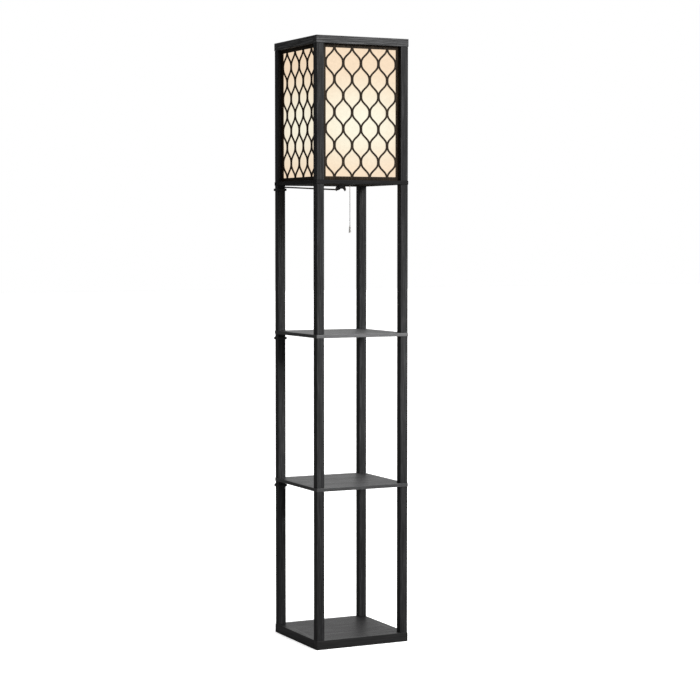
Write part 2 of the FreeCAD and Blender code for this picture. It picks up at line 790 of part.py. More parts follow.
def cord_tube(path):
    """Tube along the path with flat sides and the area of the round cord."""
    area = math.pi * (cell.cord_diameter.value / 2) ** 2
    across = math.sqrt(2 * area / (CORD_SIDES * math.sin(2 * math.pi / CORD_SIDES)))
    start = path.OrderedVertexes[0].Point
    heading = path.OrderedEdges[0].tangentAt(path.OrderedEdges[0].FirstParameter)
    level = heading.cross(UPRIGHT if abs(heading.z) < math.cos(math.pi / 4) else ACROSS).normalize()
    rise = level.cross(heading)
    corners = []
    for side in range(CORD_SIDES + 1):
        angle = (side + 0.5) * 2 * math.pi / CORD_SIDES
        corners.append(start + level * across * math.cos(angle) + rise * across * math.sin(angle))
    tube = path.makePipeShell([Part.makePolygon(corners)], True, False)
    print(f"tube volume {tube.Volume:.1f}, section times length {area * path.Length:.1f}")
    return tube


def least_gap_to_itself(path):
    """Smallest clear distance between stretches that aren't neighbours along the tube."""
    count = int(path.Length / GAP_SAMPLE_STEP)
    points = path.discretize(Number=count)
    apart = int(NEIGHBOUR_SPAN * cell.cord_diameter.value / GAP_SAMPLE_STEP)
    least = min(
        point.distanceToPoint(other)
        for index, point in enumerate(points)
        for other in points[index + apart :]
    )
    return least - cell.cord_diameter.value


def hank_middle():
    """Middle of the hank in plan: its outermost run goes on from the end of the route."""
    end_x, end_y, _ = CORD_ROUTE[-1]
    return end_x + HANK_LEAD + cell.hank_run_half.value, end_y + outermost_run().value


def outermost_run():
    """From the hank's middle line to its outermost run, where the waist doesn't draw it in."""
    return cell.hank_inner_half + cell.hank_step * ((HANK_FLOOR_RUNS - 0.5) / 2)


def hank_points_and_radii():
    """Spiral in on the floor, climb along the innermost run, spiral out on top."""
    step = cell.hank_step.value / 2
    half_run = cell.hank_run_half.value
    draw = cell.hank_waist_draw.value
    low = cell.hank_tie_wall.value + cell.hank_tie_slack.value + cell.cord_diameter.value / 2
    high = low + cell.hank_layer_step.value
    offsets = [outermost_run().value - step * run for run in range(HANK_FLOOR_RUNS + 1)]
    offsets += [offsets[-1] + step * run for run in range(1, HANK_TOP_RUNS + 1)]
    last = len(offsets) - 1
    middle_x, middle_y = hank_middle()
    slope = draw / half_run
    points = [Vector(middle_x - half_run - HANK_LEAD, middle_y - offsets[0], low)]
    points.append(Vector(middle_x - half_run, middle_y - offsets[0], low))
    radii = [HANK_WAIST_RADIUS]
    for run, offset in enumerate(offsets):
        side = -1 if run % 2 == 0 else 1
        heading = -side
        start_z = low if run <= HANK_FLOOR_RUNS else high
        end_z = low if run < HANK_FLOOR_RUNS else high
        waist = Vector(middle_x, middle_y + side * (offset - draw), (start_z + end_z) / 2)
        points.append(waist)
        radii.append(HANK_WAIST_RADIUS)
        if run == last:
            break
        turn = (offset + offsets[run + 1]) / 2
        reach = half_run + turn
        for corner_side, corner_offset in ((side, offset), (-side, offsets[run + 1])):
            y = middle_y + corner_side * (corner_offset - draw + reach * slope)
            points.append(Vector(middle_x + heading * reach, y, end_z))
        width = (points[-1] - points[-2]).Length
        quarter = (math.pi / 2 + math.atan(slope)) / 2
        radii += [width / 2 / math.tan(quarter) * HANK_TURN_SHARE] * 2
    points.append(Vector(middle_x + half_run, middle_y - offsets[last], high))
    radii.append(HANK_WAIST_RADIUS)
    points.append(points[-1] + Vector(HANK_LEAD, 0, 0))
    return points, radii


def tail_between(start, end):
    """Points between the hank and the plug: the cord dips to the floor on the way."""
    floor = cell.cord_diameter.value / 2
    points = []
    for along, across, up in TAIL_SHARES:
        x = start.x + (end.x - start.x) * along
        y = start.y + (end.y - start.y) * across
        nearer = start.z if along < TAIL_SHARES[1][0] else end.z
        points.append(Vector(x, y, floor + (nearer - floor) * up))
    return points


def add_cord():
    """The cord in three stretches, end to end: free, put away in the hank, and to the plug."""
    route = [Vector(*point) for point in CORD_ROUTE]
    radii = natural_radii(route)
    print("cord radii", " ".join(f"{radius:.1f}" for radius in radii))
    free = rounded_path(route, radii)
    solid_feature("cord", cord_tube(free))

    points, turns = hank_points_and_radii()
    wound = rounded_path(points, turns)
    print(f"hank radii from {min(turns):.1f}, gap to itself {least_gap_to_itself(wound):.2f}")
    solid_feature("cord_hank", cord_tube(wound))

    tail_end = Vector(*PLUG_TAIL, cell.plug_height.value / 2)
    tail = [points[-1], *tail_between(points[-1], tail_end), tail_end]
    rest = rounded_path(tail, natural_radii(tail))
    solid_feature("cord_tail", cord_tube(rest))
    total = free.Length + wound.Length + rest.Length
    print(f"cord lengths {free.Length:.0f} + {wound.Length:.0f} + {rest.Length:.0f} = {total:.0f}")


def add_cord_ties():
    """Strap round post and cord, just under each of the three boards."""
    post = cell.post_side / 2
    wall = cell.tie_thickness
    roof = post + cell.cord_stand_off + cell.cord_diameter / 2 + cell.cord_slack
    ridge = cell.cord_diameter + cell.cord_slack
    inner = [(-post, -post), (post, -post), (post, post), (ridge, roof), (-ridge, roof), (-post, post)]
    outside = post + wall
    shoulder = (outside, post + wall / 2)
    crown = (ridge + wall / 2, roof + wall)
    outer = [(-outside, -outside), (outside, -outside), shoulder, crown]
    outer += [(-u, v) for u, v in (crown, shoulder)]
    straps = []
    for board in (shade_floor_bottom, upper_shelf_bottom, lower_shelf_bottom):
        body = doc.addObject("PartDesign::Body", "strap")
        sketch = new_sketch(body, "XY_Plane")
        draw_outline(sketch, outer)
        draw_outline(sketch, inner)
        pad(body, sketch, cell.tie_height)
        place(body, -post_middle, post_middle, board - cell.tie_drop - cell.tie_height / 2)
        straps.append(body)
    keep(combine("Part::Compound", "cord_ties", straps), "cord_ties")


def add_hank_tie():
    """Flat strap round the waist of the hank; its underside lies on the floor."""
    wall = cell.hank_tie_wall
    slack = cell.hank_tie_slack
    half = outermost_run() - cell.hank_waist_draw + cell.cord_diameter / 2 + slack
    top = wall + slack * 2 + cell.cord_diameter + cell.hank_layer_step
    body = new_body("hank_tie")
    sketch = new_sketch(body, "YZ_Plane")
    outside = half + wall
    draw_outline(sketch, [(-outside, 0), (outside, 0), (outside, top + wall), (-outside, top + wall)])
    draw_outline(sketch, [(-half, wall), (half, wall), (half, top), (-half, top)])
    pad(body, sketch, cell.hank_tie_width, midplane=True)
    place(body, *hank_middle(), 0)


# Where the plug's body reaches its full width, as a share of its length.
PLUG_SHOULDER = 0.45


def add_plug():
    """Two-blade plug lying flat on the floor, its blades pointing along the base."""
    x, y = PLUG_TAIL
    height = cell.plug_height
    relief_length = cell.plug_relief_length
    relief = turned([(cell.relief_tip_radius, 0), (cell.plug_relief_radius, relief_length)], SMALL_SIDES)
    place(relief, x, y, height / 2, QUARTER_TURN, ACROSS)

    length = cell.plug_length
    half = cell.plug_width / 2
    tail = cell.plug_tail_width / 2
    body = doc.addObject("PartDesign::Body", "grip")
    sketch = new_sketch(body, "XY_Plane")
    right = [(0, -tail), (length * PLUG_SHOULDER, -half), (length, -half)]
    draw_outline(sketch, right + [(u, -v) for u, v in reversed(right)])
    pad(body, sketch, height, midplane=True)
    place(body, relief_length + x, y, height / 2)
    keep(combine("Part::MultiFuse", "plug_body", [body, relief]), "plug_body")

    blades = []
    middle_x = relief_length + x + length + cell.blade_length / 2
    for side in (-1, 1):
        spot = (middle_x, cell.blade_spacing / 2 * side + y, (height - cell.blade_width) / 2)
        blades.append(square_bar(cell.blade_length, cell.blade_thickness, cell.blade_width, *spot))
    keep(combine("Part::Compound", "plug_blades", blades), "plug_blades")


# ---------------------------------------------------------------- the whole lamp


def check_and_write():
    """Stop on any failed object, then write one file per node."""
    doc.recompute()
    for thing in doc.Objects:
        if {"Invalid", "Error"} & set(thing.State):
            raise ValueError(f"{thing.Label} failed: {thing.State}")
    for node in nodes:
        if node.Shape.isNull() or not node.Shape.isValid():
            raise ValueError(f"{node.Label} has no valid shape")
    os.makedirs("parts", exist_ok=True)
    for node in nodes:
        node.Shape.exportStep(f"parts/{node.Label}.step")
    print(f"{len(nodes)} nodes")


block_top = shade_floor_top + cell.switch_block_lift + cell.switch_block_height
spout_mouth = shade_floor_top + cell.spout_lift
arm_height = cell.spout_lift + cell.spout_height / 2

add_base()
add_post_level("lower", cell.base_thickness, cell.post_length)
add_board("lower_shelf", lower_shelf_bottom, cell.shelf_thickness)
add_post_level("middle", middle_post_bottom, cell.post_length)
add_board("upper_shelf", upper_shelf_bottom, cell.shelf_thickness)
add_post_level("upper", upper_post_bottom, cell.post_length)
add_shade_floor()
add_post_level("shade", shade_floor_top, cell.shade_post_length)
add_top_frame()
add_fasteners()
add_shade_panels()
add_wing_nut()
add_lamp_holder()
add_bulb()
add_pull_chain()
add_cord_ties()
add_cord()
add_hank_tie()
add_plug()
check_and_write()
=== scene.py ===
import math

import bmesh
import bpy
from bpy.props import FloatProperty, FloatVectorProperty, IntProperty, PointerProperty
from mathutils import Matrix, Vector


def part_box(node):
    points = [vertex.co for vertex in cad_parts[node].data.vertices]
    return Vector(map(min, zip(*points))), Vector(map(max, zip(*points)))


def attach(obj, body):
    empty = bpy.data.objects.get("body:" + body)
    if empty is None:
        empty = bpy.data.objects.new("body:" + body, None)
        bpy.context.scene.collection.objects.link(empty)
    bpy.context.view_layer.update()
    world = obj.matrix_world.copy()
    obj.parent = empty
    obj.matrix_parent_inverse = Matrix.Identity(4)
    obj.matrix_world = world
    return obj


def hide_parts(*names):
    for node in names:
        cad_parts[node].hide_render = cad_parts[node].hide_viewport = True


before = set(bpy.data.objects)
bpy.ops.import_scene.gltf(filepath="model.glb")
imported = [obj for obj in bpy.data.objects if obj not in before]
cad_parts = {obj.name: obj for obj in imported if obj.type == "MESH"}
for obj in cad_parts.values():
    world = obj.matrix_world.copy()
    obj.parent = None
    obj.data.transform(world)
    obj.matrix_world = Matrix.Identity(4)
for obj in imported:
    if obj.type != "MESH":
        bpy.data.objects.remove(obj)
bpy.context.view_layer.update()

# Shelf floor lamp. Metres, +Z up, the origin under the middle of the base, the front faces -Y.

bl_info = {
    "name": "Shelf floor lamp",
    "version": (1, 0, 0),
    "blender": (4, 5, 0),
    "location": "3D View > Sidebar > Lamp",
    "description": "Wood, fretwork, glow, fittings and cord of a square floor lamp with shelves",
    "category": "Add Mesh",
}

MM = 0.001
SIDES = (("front", 0), ("right", 90), ("back", 180), ("left", 270))
LEVELS = ("lower", "middle", "upper", "shade")
CORNERS = ("front_left", "front_right", "back_right", "back_left")
FLOOR_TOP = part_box("shade_floor")[1].z
PANEL_LOW, PANEL_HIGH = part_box("fretwork_front")
WHITE = (1.0, 1.0, 1.0, 1.0)


# ---- sizes and colours


def length(name, description, default):
    return FloatProperty(
        name=name, description=description, default=default, unit="LENGTH", precision=4
    )


def angle(name, description, degrees):
    turn = math.radians(degrees)
    return FloatProperty(name=name, description=description, default=turn, unit="ROTATION")


def amount(name, description, default, least=0.0):
    return FloatProperty(name=name, description=description, default=default, min=least)


def count(name, description, default):
    return IntProperty(name=name, description=description, default=default, min=1)


def colour(name, description, default):
    limits = {"min": 0.0, "max": 1.0}
    return FloatVectorProperty(
        name=name, description=description, default=default, subtype="COLOR", size=3, **limits
    )


class LampWood(bpy.types.PropertyGroup):
    """Laminate of the posts, rails and boards"""

    ground: colour("Ground", "Darkest tone between the grain lines", (0.014, 0.014, 0.0145))
    grain: colour("Grain", "Lighter tone of the grain lines", (0.046, 0.046, 0.047))
    # Painted shade: darker copies of the laminate for the base and the shade floor, where less
    # light falls.
    painted_shade_ground: colour("Base ground", "Darkest tone of the base", (0.006, 0.006, 0.0065))
    painted_shade_grain: colour("Base grain", "Lighter tone of base and shade floor", (0.023, 0.022, 0.022))
    # Painted light: a lighter copy of the grain for the top frame, where the light is strongest.
    painted_light_top_grain: colour("Top grain", "Lighter tone of the top frame", (0.110, 0.110, 0.113))
    # Painted highlights on the shelves' edge bands, weaker on the lower shelf where less light
    # falls.
    painted_edge_sheen: colour("Upper edge", "Edge bands of the upper shelf", (0.102, 0.102, 0.104))
    low_painted_edge_sheen: colour("Lower edge", "Edge bands of the lower shelf", (0.048, 0.048, 0.049))
    fret_ground: colour("Fretwork ground", "Darkest tone of the fretwork", (0.015, 0.009, 0.0045))
    fret_grain: colour("Fretwork grain", "Lighter tone of the fretwork", (0.044, 0.027, 0.012))
    edge_round: length("Edge", "Rounding of the boards' edges", 0.0006)


class LampFretwork(bpy.types.PropertyGroup):
    """Cut ogee lattice in front of each diffuser"""

    border: length("Border", "Plain border round the lattice", 0.0095)
    strand: length("Strand", "Width of a single strand", 0.0046)
    strand_offset: length("Offset", "Merged strands run this far off their shared line", 0.0012)
    edge_round: length("Edge", "Rounding of the cut edges", 0.0003)
    columns: count("Columns", "Full openings across the lattice", 4)
    rows: count("Rows", "Rows of full openings", 7)
    edge_share: amount("Edge share", "Share of a row that the outermost rows reach", 0.9)


class LampGlow(bpy.types.PropertyGroup):
    """Glow of the bulb, painted into the linen as emission"""

    middle: colour("Middle", "Linen nearest to the bulb", (0.985, 0.950, 0.775))
    rim: colour("Rim", "Linen furthest from the bulb", (0.935, 0.730, 0.530))
    # Kept dark so that the painted glow, not the studio light, sets the sheet's look.
    linen: colour("Linen", "Colour of the unlit cloth", (0.07, 0.06, 0.045))
    height: length("Height", "Height of the brightest place", 1.377)
    reach: length("Reach", "Distance over which the glow fades", 0.165)
    sideways: amount("Sideways", "Share of the fading that happens sideways", 0.66)
    strength: amount("Strength", "Brightness of the lit linen", 1.0)


class LampFittings(bpy.types.PropertyGroup):
    """Wing nut, lamp holder, bulb and pull chain"""

    bead: length("Bead", "Diameter of the chain's beads", 0.0024)
    bead_pitch: length("Bead pitch", "From one bead to the next", 0.0031)
    bead_wire: length("Bead wire", "Diameter of the wire between beads", 0.0008)
    chain_pivot: length("Chain pivot", "Height at which the chain swings", 1.2285)
    bulb_radius: length("Bulb radius", "Round end of the bulb", 0.030)
    thread_pitch: length("Thread pitch", "Screw thread of the bulb's cap", 0.0036)


class LampCord(bpy.types.PropertyGroup):
    """Cord, the hank that it is put away in, and its plug"""

    diameter: length("Diameter", "Diameter of the cord", 0.004)
    real_length: length("Length", "Length of the cord from the wing nut to the plug", 2.26)
    hank_half: length("Hank run", "Half the length of the hank's straight runs", 0.034)
    hank_inner: length("Hank inner turn", "Half width of the innermost turn", 0.0125)
    hank_step: length("Hank step", "Between neighbouring loops", 0.0048)
    hank_layer: length("Hank layer", "Between the hank's two layers", 0.0049)
    hank_draw: length("Hank waist", "Each run is drawn in this far under the tie", 0.005)
    hank_lift: length("Hank lift", "Middle of the lower loops above the floor", 0.0038)


class LampStudio(bpy.types.PropertyGroup):
    """Camera and lights"""

    camera_place: FloatVectorProperty(
        name="Camera",
        description="Place of the camera",
        default=(-2.279126, -4.701492, 1.085083),
        unit="LENGTH",
    )
    camera_pitch: angle("Pitch", "Camera's tilt", -3.0261)
    camera_yaw: angle("Yaw", "Camera's heading", -26.1364)
    camera_lens: amount("Lens", "Focal length in millimetres", 100.229, 1.0)
    camera_shift: amount("Shift", "Vertical shift of the frame", -0.01714, -1.0)
    floor_tone: colour("Floor", "Pale floor", (0.90, 0.90, 0.90))
    floor_bounce: colour("Floor bounce", "Floor as the lamp sees it", (0.18, 0.18, 0.18))
    floor_lift: amount("Floor lift", "Extra light of the floor", 0.55)
    dark_side: amount("Dark side", "Surroundings on the left", 0.20)
    light_side: amount("Light side", "Surroundings on the right", 0.66)
    overhead: amount("Overhead", "Light from above", 1.9)


SETTINGS = (
    ("lamp_wood", LampWood),
    ("lamp_fretwork", LampFretwork),
    ("lamp_glow", LampGlow),
    ("lamp_fittings", LampFittings),
    ("lamp_cord", LampCord),
    ("lamp_studio", LampStudio),
)


# ---- shapes

STAND_UP = Matrix.Rotation(math.pi / 2, 4, "X")
ALONG_X = Matrix.Rotation(math.pi / 2, 4, "Y")


def in_metres(points, base=0.0):
    """Pairs of millimetres as metres; the second of each pair counts from the base."""
    return [(first * MM, (base + second) * MM) for first, second in points]


def thread(start, end, pitch, root, crest):
    """Profile of a screw thread between two heights."""
    points = []
    height = start
    while height < end:
        points += [(root, height), (crest, height + pitch / 2)]
        height += pitch
    return points


def turned_shape(profile, steps=48):
    """Spin (radius, height) points round the upright; a closed loop if they start off the axis."""
    bm = bmesh.new()
    verts = [bm.verts.new((radius, 0, height)) for radius, height in profile]
    edges = [bm.edges.new(pair) for pair in zip(verts, verts[1:])]
    if profile[0][0] > 0:
        edges.append(bm.edges.new((verts[-1], verts[0])))
    axis = {"cent": (0, 0, 0), "axis": (0, 0, 1), "angle": math.tau}
    bmesh.ops.spin(bm, geom=verts + edges, steps=steps, use_merge=True, **axis)
    bmesh.ops.remove_doubles(bm, verts=bm.verts, dist=1e-7)
    bmesh.ops.recalc_face_normals(bm, faces=bm.faces)
    return bm


def round_sharp_edges(bm, width, segments=2, least_angle=30):
    limit = math.radians(least_angle)
    sharp = [edge for edge in bm.edges if edge.is_manifold and edge.calc_face_angle() > limit]
    form = {"offset": width, "segments": segments, "profile": 0.5, "affect": "EDGES"}
    bmesh.ops.bevel(bm, geom=sharp, material=-1, clamp_overlap=True, **form)


def thickened(bm, faces, thickness, edge, segments=2, least_angle=30):
    """Flat faces drawn up into a solid with rounded edges."""
    raised = bmesh.ops.extrude_face_region(bm, geom=faces)["geom"]
    verts = [item for item in raised if isinstance(item, bmesh.types.BMVert)]
    bmesh.ops.translate(bm, vec=(0, 0, thickness), verts=verts)
    bmesh.ops.recalc_face_normals(bm, faces=bm.faces)
    round_sharp_edges(bm, edge, segments, least_angle)
    return bm


def plate_shape(outline, thickness, edge, segments):
    """A flat outline of (x, y) points, made this thick about the level plane."""
    bm = bmesh.new()
    face = bm.faces.new([bm.verts.new((x, y, -thickness / 2)) for x, y in outline])
    return thickened(bm, [face], thickness, edge, segments)


def block_shape(size, edge):
    bm = bmesh.new()
    bmesh.ops.create_cube(bm, size=1.0)
    bmesh.ops.scale(bm, vec=size, verts=bm.verts)
    round_sharp_edges(bm, edge)
    return bm


def strap_shape(inner, outer, width, edge):
    """A closed strap between two outlines with as many points, this wide along the upright."""
    bm = bmesh.new()
    loops = []
    for outline in (inner, outer):
        verts = [bm.verts.new((x, y, -width / 2)) for x, y in outline]
        loops += [bm.edges.new(pair) for pair in zip(verts, verts[1:] + verts[:1])]
    faces = bmesh.ops.bridge_loops(bm, edges=loops)["faces"]
    return thickened(bm, faces, width, edge, least_angle=50)


def rounded_outline(corners, radii, steps=6):
    """Outline in metres through corners (x, y), each rounded to its radius, in millimetres."""
    corners = [Vector(corner) for corner in in_metres(corners)]
    points = []
    for index, radius in enumerate(radii):
        before, corner, after = (corners[(index + turn) % len(corners)] for turn in (-1, 0, 1))
        inward = (before - corner).normalized()
        onward = (after - corner).normalized()
        reach = radius * MM / math.tan(inward.angle(onward) / 2)
        start = corner + inward * reach
        end = corner + onward * reach
        for step in range(steps + 1):
            share = step / steps
            bend = corner * 2 * share * (1 - share)
            points.append(start * (1 - share) ** 2 + bend + end * share**2)
    return points


def moved(bm, *matrices):
    for matrix in matrices:
        bmesh.ops.transform(bm, matrix=matrix, verts=bm.verts)
    return bm


def shifted(bm, x=0.0, y=0.0, z=0.0):
    return moved(bm, Matrix.Translation((x, y, z)))


def joined(parts):
    whole = bmesh.new()
    for part in parts:
        mesh = bpy.data.meshes.new("part")
        part.to_mesh(mesh)
        part.free()
        whole.from_mesh(mesh)
        bpy.data.meshes.remove(mesh)
    return whole


def new_object(name, data, place=(0, 0, 0), turn=(0, 0, 0)):
    thing = bpy.data.objects.new(name, data)
    bpy.context.scene.collection.objects.link(thing)
    thing.location = place
    thing.rotation_euler = turn
    return thing


def add_piece(name, data, body, material, *nodes):
    """Show a piece in place of the frame's nodes; its slot has the material's name."""
    piece = new_object(name, data)
    data.materials.append(material)
    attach(piece, body)
    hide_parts(*nodes)
    return piece


def add_shape(name, bm, material, node, body="frame", sharp_angle=38):
    """Show a shape as a piece, smooth apart from its sharp edges."""
    limit = math.radians(sharp_angle)
    for face in bm.faces:
        face.smooth = True
    for edge in bm.edges:
        edge.smooth = edge.is_manifold and edge.calc_face_angle() < limit
    mesh = bpy.data.meshes.new(name)
    bm.to_mesh(mesh)
    bm.free()
    add_piece(name, mesh, body, material, node)


def dress_node(name, material):
    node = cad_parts[name]
    node.data.materials.clear()
    node.data.materials.append(material)
    return node


# ---- finishes


def feed(tree, node, values):
    """Link sockets to the node's inputs, and set plain values on them."""
    for name, value in values.items():
        if isinstance(value, bpy.types.NodeSocket):
            tree.links.new(value, node.inputs[name])
        else:
            node.inputs[name].default_value = value


def add_node(tree, kind, values=None, **settings):
    node = tree.nodes.new(f"ShaderNode{kind}")
    for name, value in settings.items():
        setattr(node, name, value)
    feed(tree, node, values or {})
    return node


def maths(tree, operation, first, second=0.0, **settings):
    return add_node(tree, "Math", {0: first, 1: second}, operation=operation, **settings).outputs[0]


def mixed(tree, factor, first, second, blend="MIX"):
    values = {0: factor, 6: first, 7: second}
    return add_node(tree, "Mix", values, data_type="RGBA", blend_type=blend).outputs[2]


def spread(tree, value, before=(0.0, 1.0), after=(0.0, 1.0), **settings):
    """The value, taken from one range to another."""
    values = {"Value": value, "From Min": before[0], "From Max": before[1]}
    values.update({"To Min": after[0], "To Max": after[1]})
    return add_node(tree, "MapRange", values, **settings).outputs[0]


def relief(tree, height, strength, distance):
    values = {"Height": height, "Strength": strength, "Distance": distance}
    return add_node(tree, "Bump", values).outputs[0]


def rgba(tone):
    return (*tone, 1.0)


def object_place(tree):
    return add_node(tree, "TexCoord").outputs["Object"]


def turned_place(tree, place, axis):
    """The place, turned so that Z runs along the axis."""
    return add_node(tree, "Mapping", {"Vector": place, "Rotation": TURN_TO_GRAIN[axis]}).outputs[0]


def noise(tree, vector, scale, detail, roughness=0.5):
    values = {"Vector": vector, "Scale": scale, "Detail": detail, "Roughness": roughness}
    return add_node(tree, "TexNoise", values).outputs["Fac"]


def stretched_noise(tree, vector, scale, stretch, detail, roughness=0.55):
    """Noise drawn out along Z."""
    scales = (scale, scale, scale / stretch)
    mapping = add_node(tree, "Mapping", {"Vector": vector, "Scale": scales})
    return noise(tree, mapping.outputs[0], 1.0, detail, roughness)


def ramp(tree, factor, low, high):
    """Black up to low, white from high on."""
    node = add_node(tree, "ValToRGB", {"Fac": factor})
    for element, position, tone in zip(node.color_ramp.elements, (low, high), (0.0, 1.0)):
        element.position = position
        element.color = (tone, tone, tone, 1.0)
    return node.outputs["Color"]


GRAIN_SOCKETS = (
    ("INPUT", "Vector", "Vector"),
    ("OUTPUT", "Grain", "Float"),
    ("OUTPUT", "Height", "Float"),
)
# Broad figure, fine lines and pores: scale, stretch, detail and roughness of the noise, and
# where it turns from dark to light.
GRAIN_LAYERS = (
    (95.0, 14.0, 3.0, 0.55, 0.35, 0.70),
    (420.0, 34.0, 5.0, 0.62, 0.42, 0.66),
    (1150.0, 26.0, 2.0, 0.55, 0.30, 0.46),
)
PLAIN_LINES = 0.55


def grain_group():
    """Laminate grain along Z: broad figure, fine lines and pores."""
    name = "Laminate grain"
    if name in bpy.data.node_groups:
        return bpy.data.node_groups[name]
    group = bpy.data.node_groups.new(name, "ShaderNodeTree")
    for in_out, socket, kind in GRAIN_SOCKETS:
        group.interface.new_socket(socket, in_out=in_out, socket_type=f"NodeSocket{kind}")
    vector = group.nodes.new("NodeGroupInput").outputs["Vector"]
    figure, lines, pores = (
        ramp(group, stretched_noise(group, vector, *layer), low, high)
        for *layer, low, high in GRAIN_LAYERS
    )
    figured = maths(group, "MULTIPLY", figure, lines)
    plain = maths(group, "MULTIPLY", lines, PLAIN_LINES)
    total = maths(group, "ADD", figured, plain, use_clamp=True)
    grain = maths(group, "MULTIPLY", total, pores)
    height = maths(group, "ADD", lines, pores)
    feed(group, group.nodes.new("NodeGroupOutput"), {"Grain": grain, "Height": height})
    return group


def new_material(name):
    material = bpy.data.materials.new(name)
    material.use_nodes = True
    tree = material.node_tree
    return material, tree, tree.nodes["Principled BSDF"]


TURN_TO_GRAIN = {"Z": (0, 0, 0), "X": (0, math.pi / 2, 0), "Y": (math.pi / 2, 0, 0)}
# A shelf's edge band, a painted highlight, takes over where a face looks this much to the front or
# back.
SHEEN_FACING = (0.6, 0.8)


def laminate(name, axis, ground, grain, roughness=0.55, bump=0.25, specular=0.16, sheen_tone=None):
    """Dark laminate with its grain along one axis, and painted highlight bands on a shelf's long
    edges.
    """
    material, tree, shader = new_material(name)
    along = {"Vector": turned_place(tree, object_place(tree), axis)}
    pattern = add_node(tree, "Group", along, node_tree=grain_group())
    lightness = pattern.outputs["Grain"]
    tone = mixed(tree, lightness, rgba(ground), rgba(grain))
    # Painted highlight: faces that look to the front or back take the lighter band tone, as if
    # catching reflected light.
    if sheen_tone:
        normal = add_node(tree, "NewGeometry").outputs["True Normal"]
        forward = add_node(tree, "SeparateXYZ", {"Vector": normal}).outputs["Y"]
        sheen_share = spread(tree, maths(tree, "ABSOLUTE", forward), SHEEN_FACING)
        tone = mixed(tree, sheen_share, tone, rgba(sheen_tone))
    look = {
        "Base Color": tone,
        "Roughness": spread(tree, lightness, after=(roughness + 0.08, roughness - 0.06)),
        "Normal": relief(tree, pattern.outputs["Height"], bump, 0.0003),
        "Specular IOR Level": specular,
    }
    feed(tree, shader, look)
    return material


def metal(name, tone, roughness, metallic=1.0):
    """Metal with fine brushing and a little staining."""
    material, tree, shader = new_material(name)
    place = object_place(tree)
    fine = stretched_noise(tree, place, 600.0, 0.12, 3.0)
    stained = rgba([part * 0.72 for part in tone])
    look = {
        "Base Color": mixed(tree, noise(tree, place, 140.0, 3.0), rgba(tone), stained),
        "Roughness": spread(tree, fine, after=(roughness - 0.08, roughness + 0.12)),
        "Normal": relief(tree, fine, 0.15, 0.0001),
        "Metallic": metallic,
    }
    feed(tree, shader, look)
    return material


def moulded(name, tone, roughness, variation=0.25):
    """Moulded plastic or rubber with a fine skin texture."""
    material, tree, shader = new_material(name)
    place = object_place(tree)
    skin = noise(tree, place, 900.0, 3.0)
    second = rgba([part * (1 - variation) for part in tone])
    look = {
        "Base Color": mixed(tree, noise(tree, place, 60.0, 2.0), rgba(tone), second),
        "Roughness": spread(tree, skin, after=(roughness - 0.06, roughness + 0.08)),
        "Normal": relief(tree, skin, 0.2, 0.0002),
    }
    feed(tree, shader, look)
    return material


def dowel_wood():
    material, tree, shader = new_material("Dowel wood")
    lines = stretched_noise(tree, object_place(tree), 700.0, 25.0, 4.0)
    tone = mixed(tree, lines, (0.52, 0.36, 0.20, 1.0), (0.36, 0.22, 0.11, 1.0))
    feed(tree, shader, {"Base Color": tone, "Roughness": 0.7})
    return material


def frosted_glass():
    """Frosted glass with a faint cloud, which gives its own light."""
    material, tree, shader = new_material("Frosted glass")
    cloud = noise(tree, object_place(tree), 45.0, 2.0)
    look = {
        "Base Color": mixed(tree, cloud, (0.46, 0.45, 0.42, 1.0), (0.40, 0.39, 0.36, 1.0)),
        "Emission Color": mixed(tree, cloud, (1.0, 0.86, 0.60, 1.0), (1.0, 0.80, 0.50, 1.0)),
        "Emission Strength": 0.62,
        "Roughness": 0.35,
    }
    feed(tree, shader, look)
    return material


THREAD_PITCH = 0.0011


def weave_height(tree, along, across):
    """Plain weave: two sets of threads that pass over and under each other."""
    waves = []
    for coordinate in (along, across):
        turn = maths(tree, "MULTIPLY", coordinate, math.pi / THREAD_PITCH)
        waves.append(maths(tree, "SINE", turn))
    return spread(tree, maths(tree, "MULTIPLY", *waves), (-1.0, 1.0))


# How much the threads and the broader clouds of the cloth darken and lighten its light.
THREAD_SHADE = (0.86, 1.12)
CLOUD_SHADE = (0.965, 1.035)


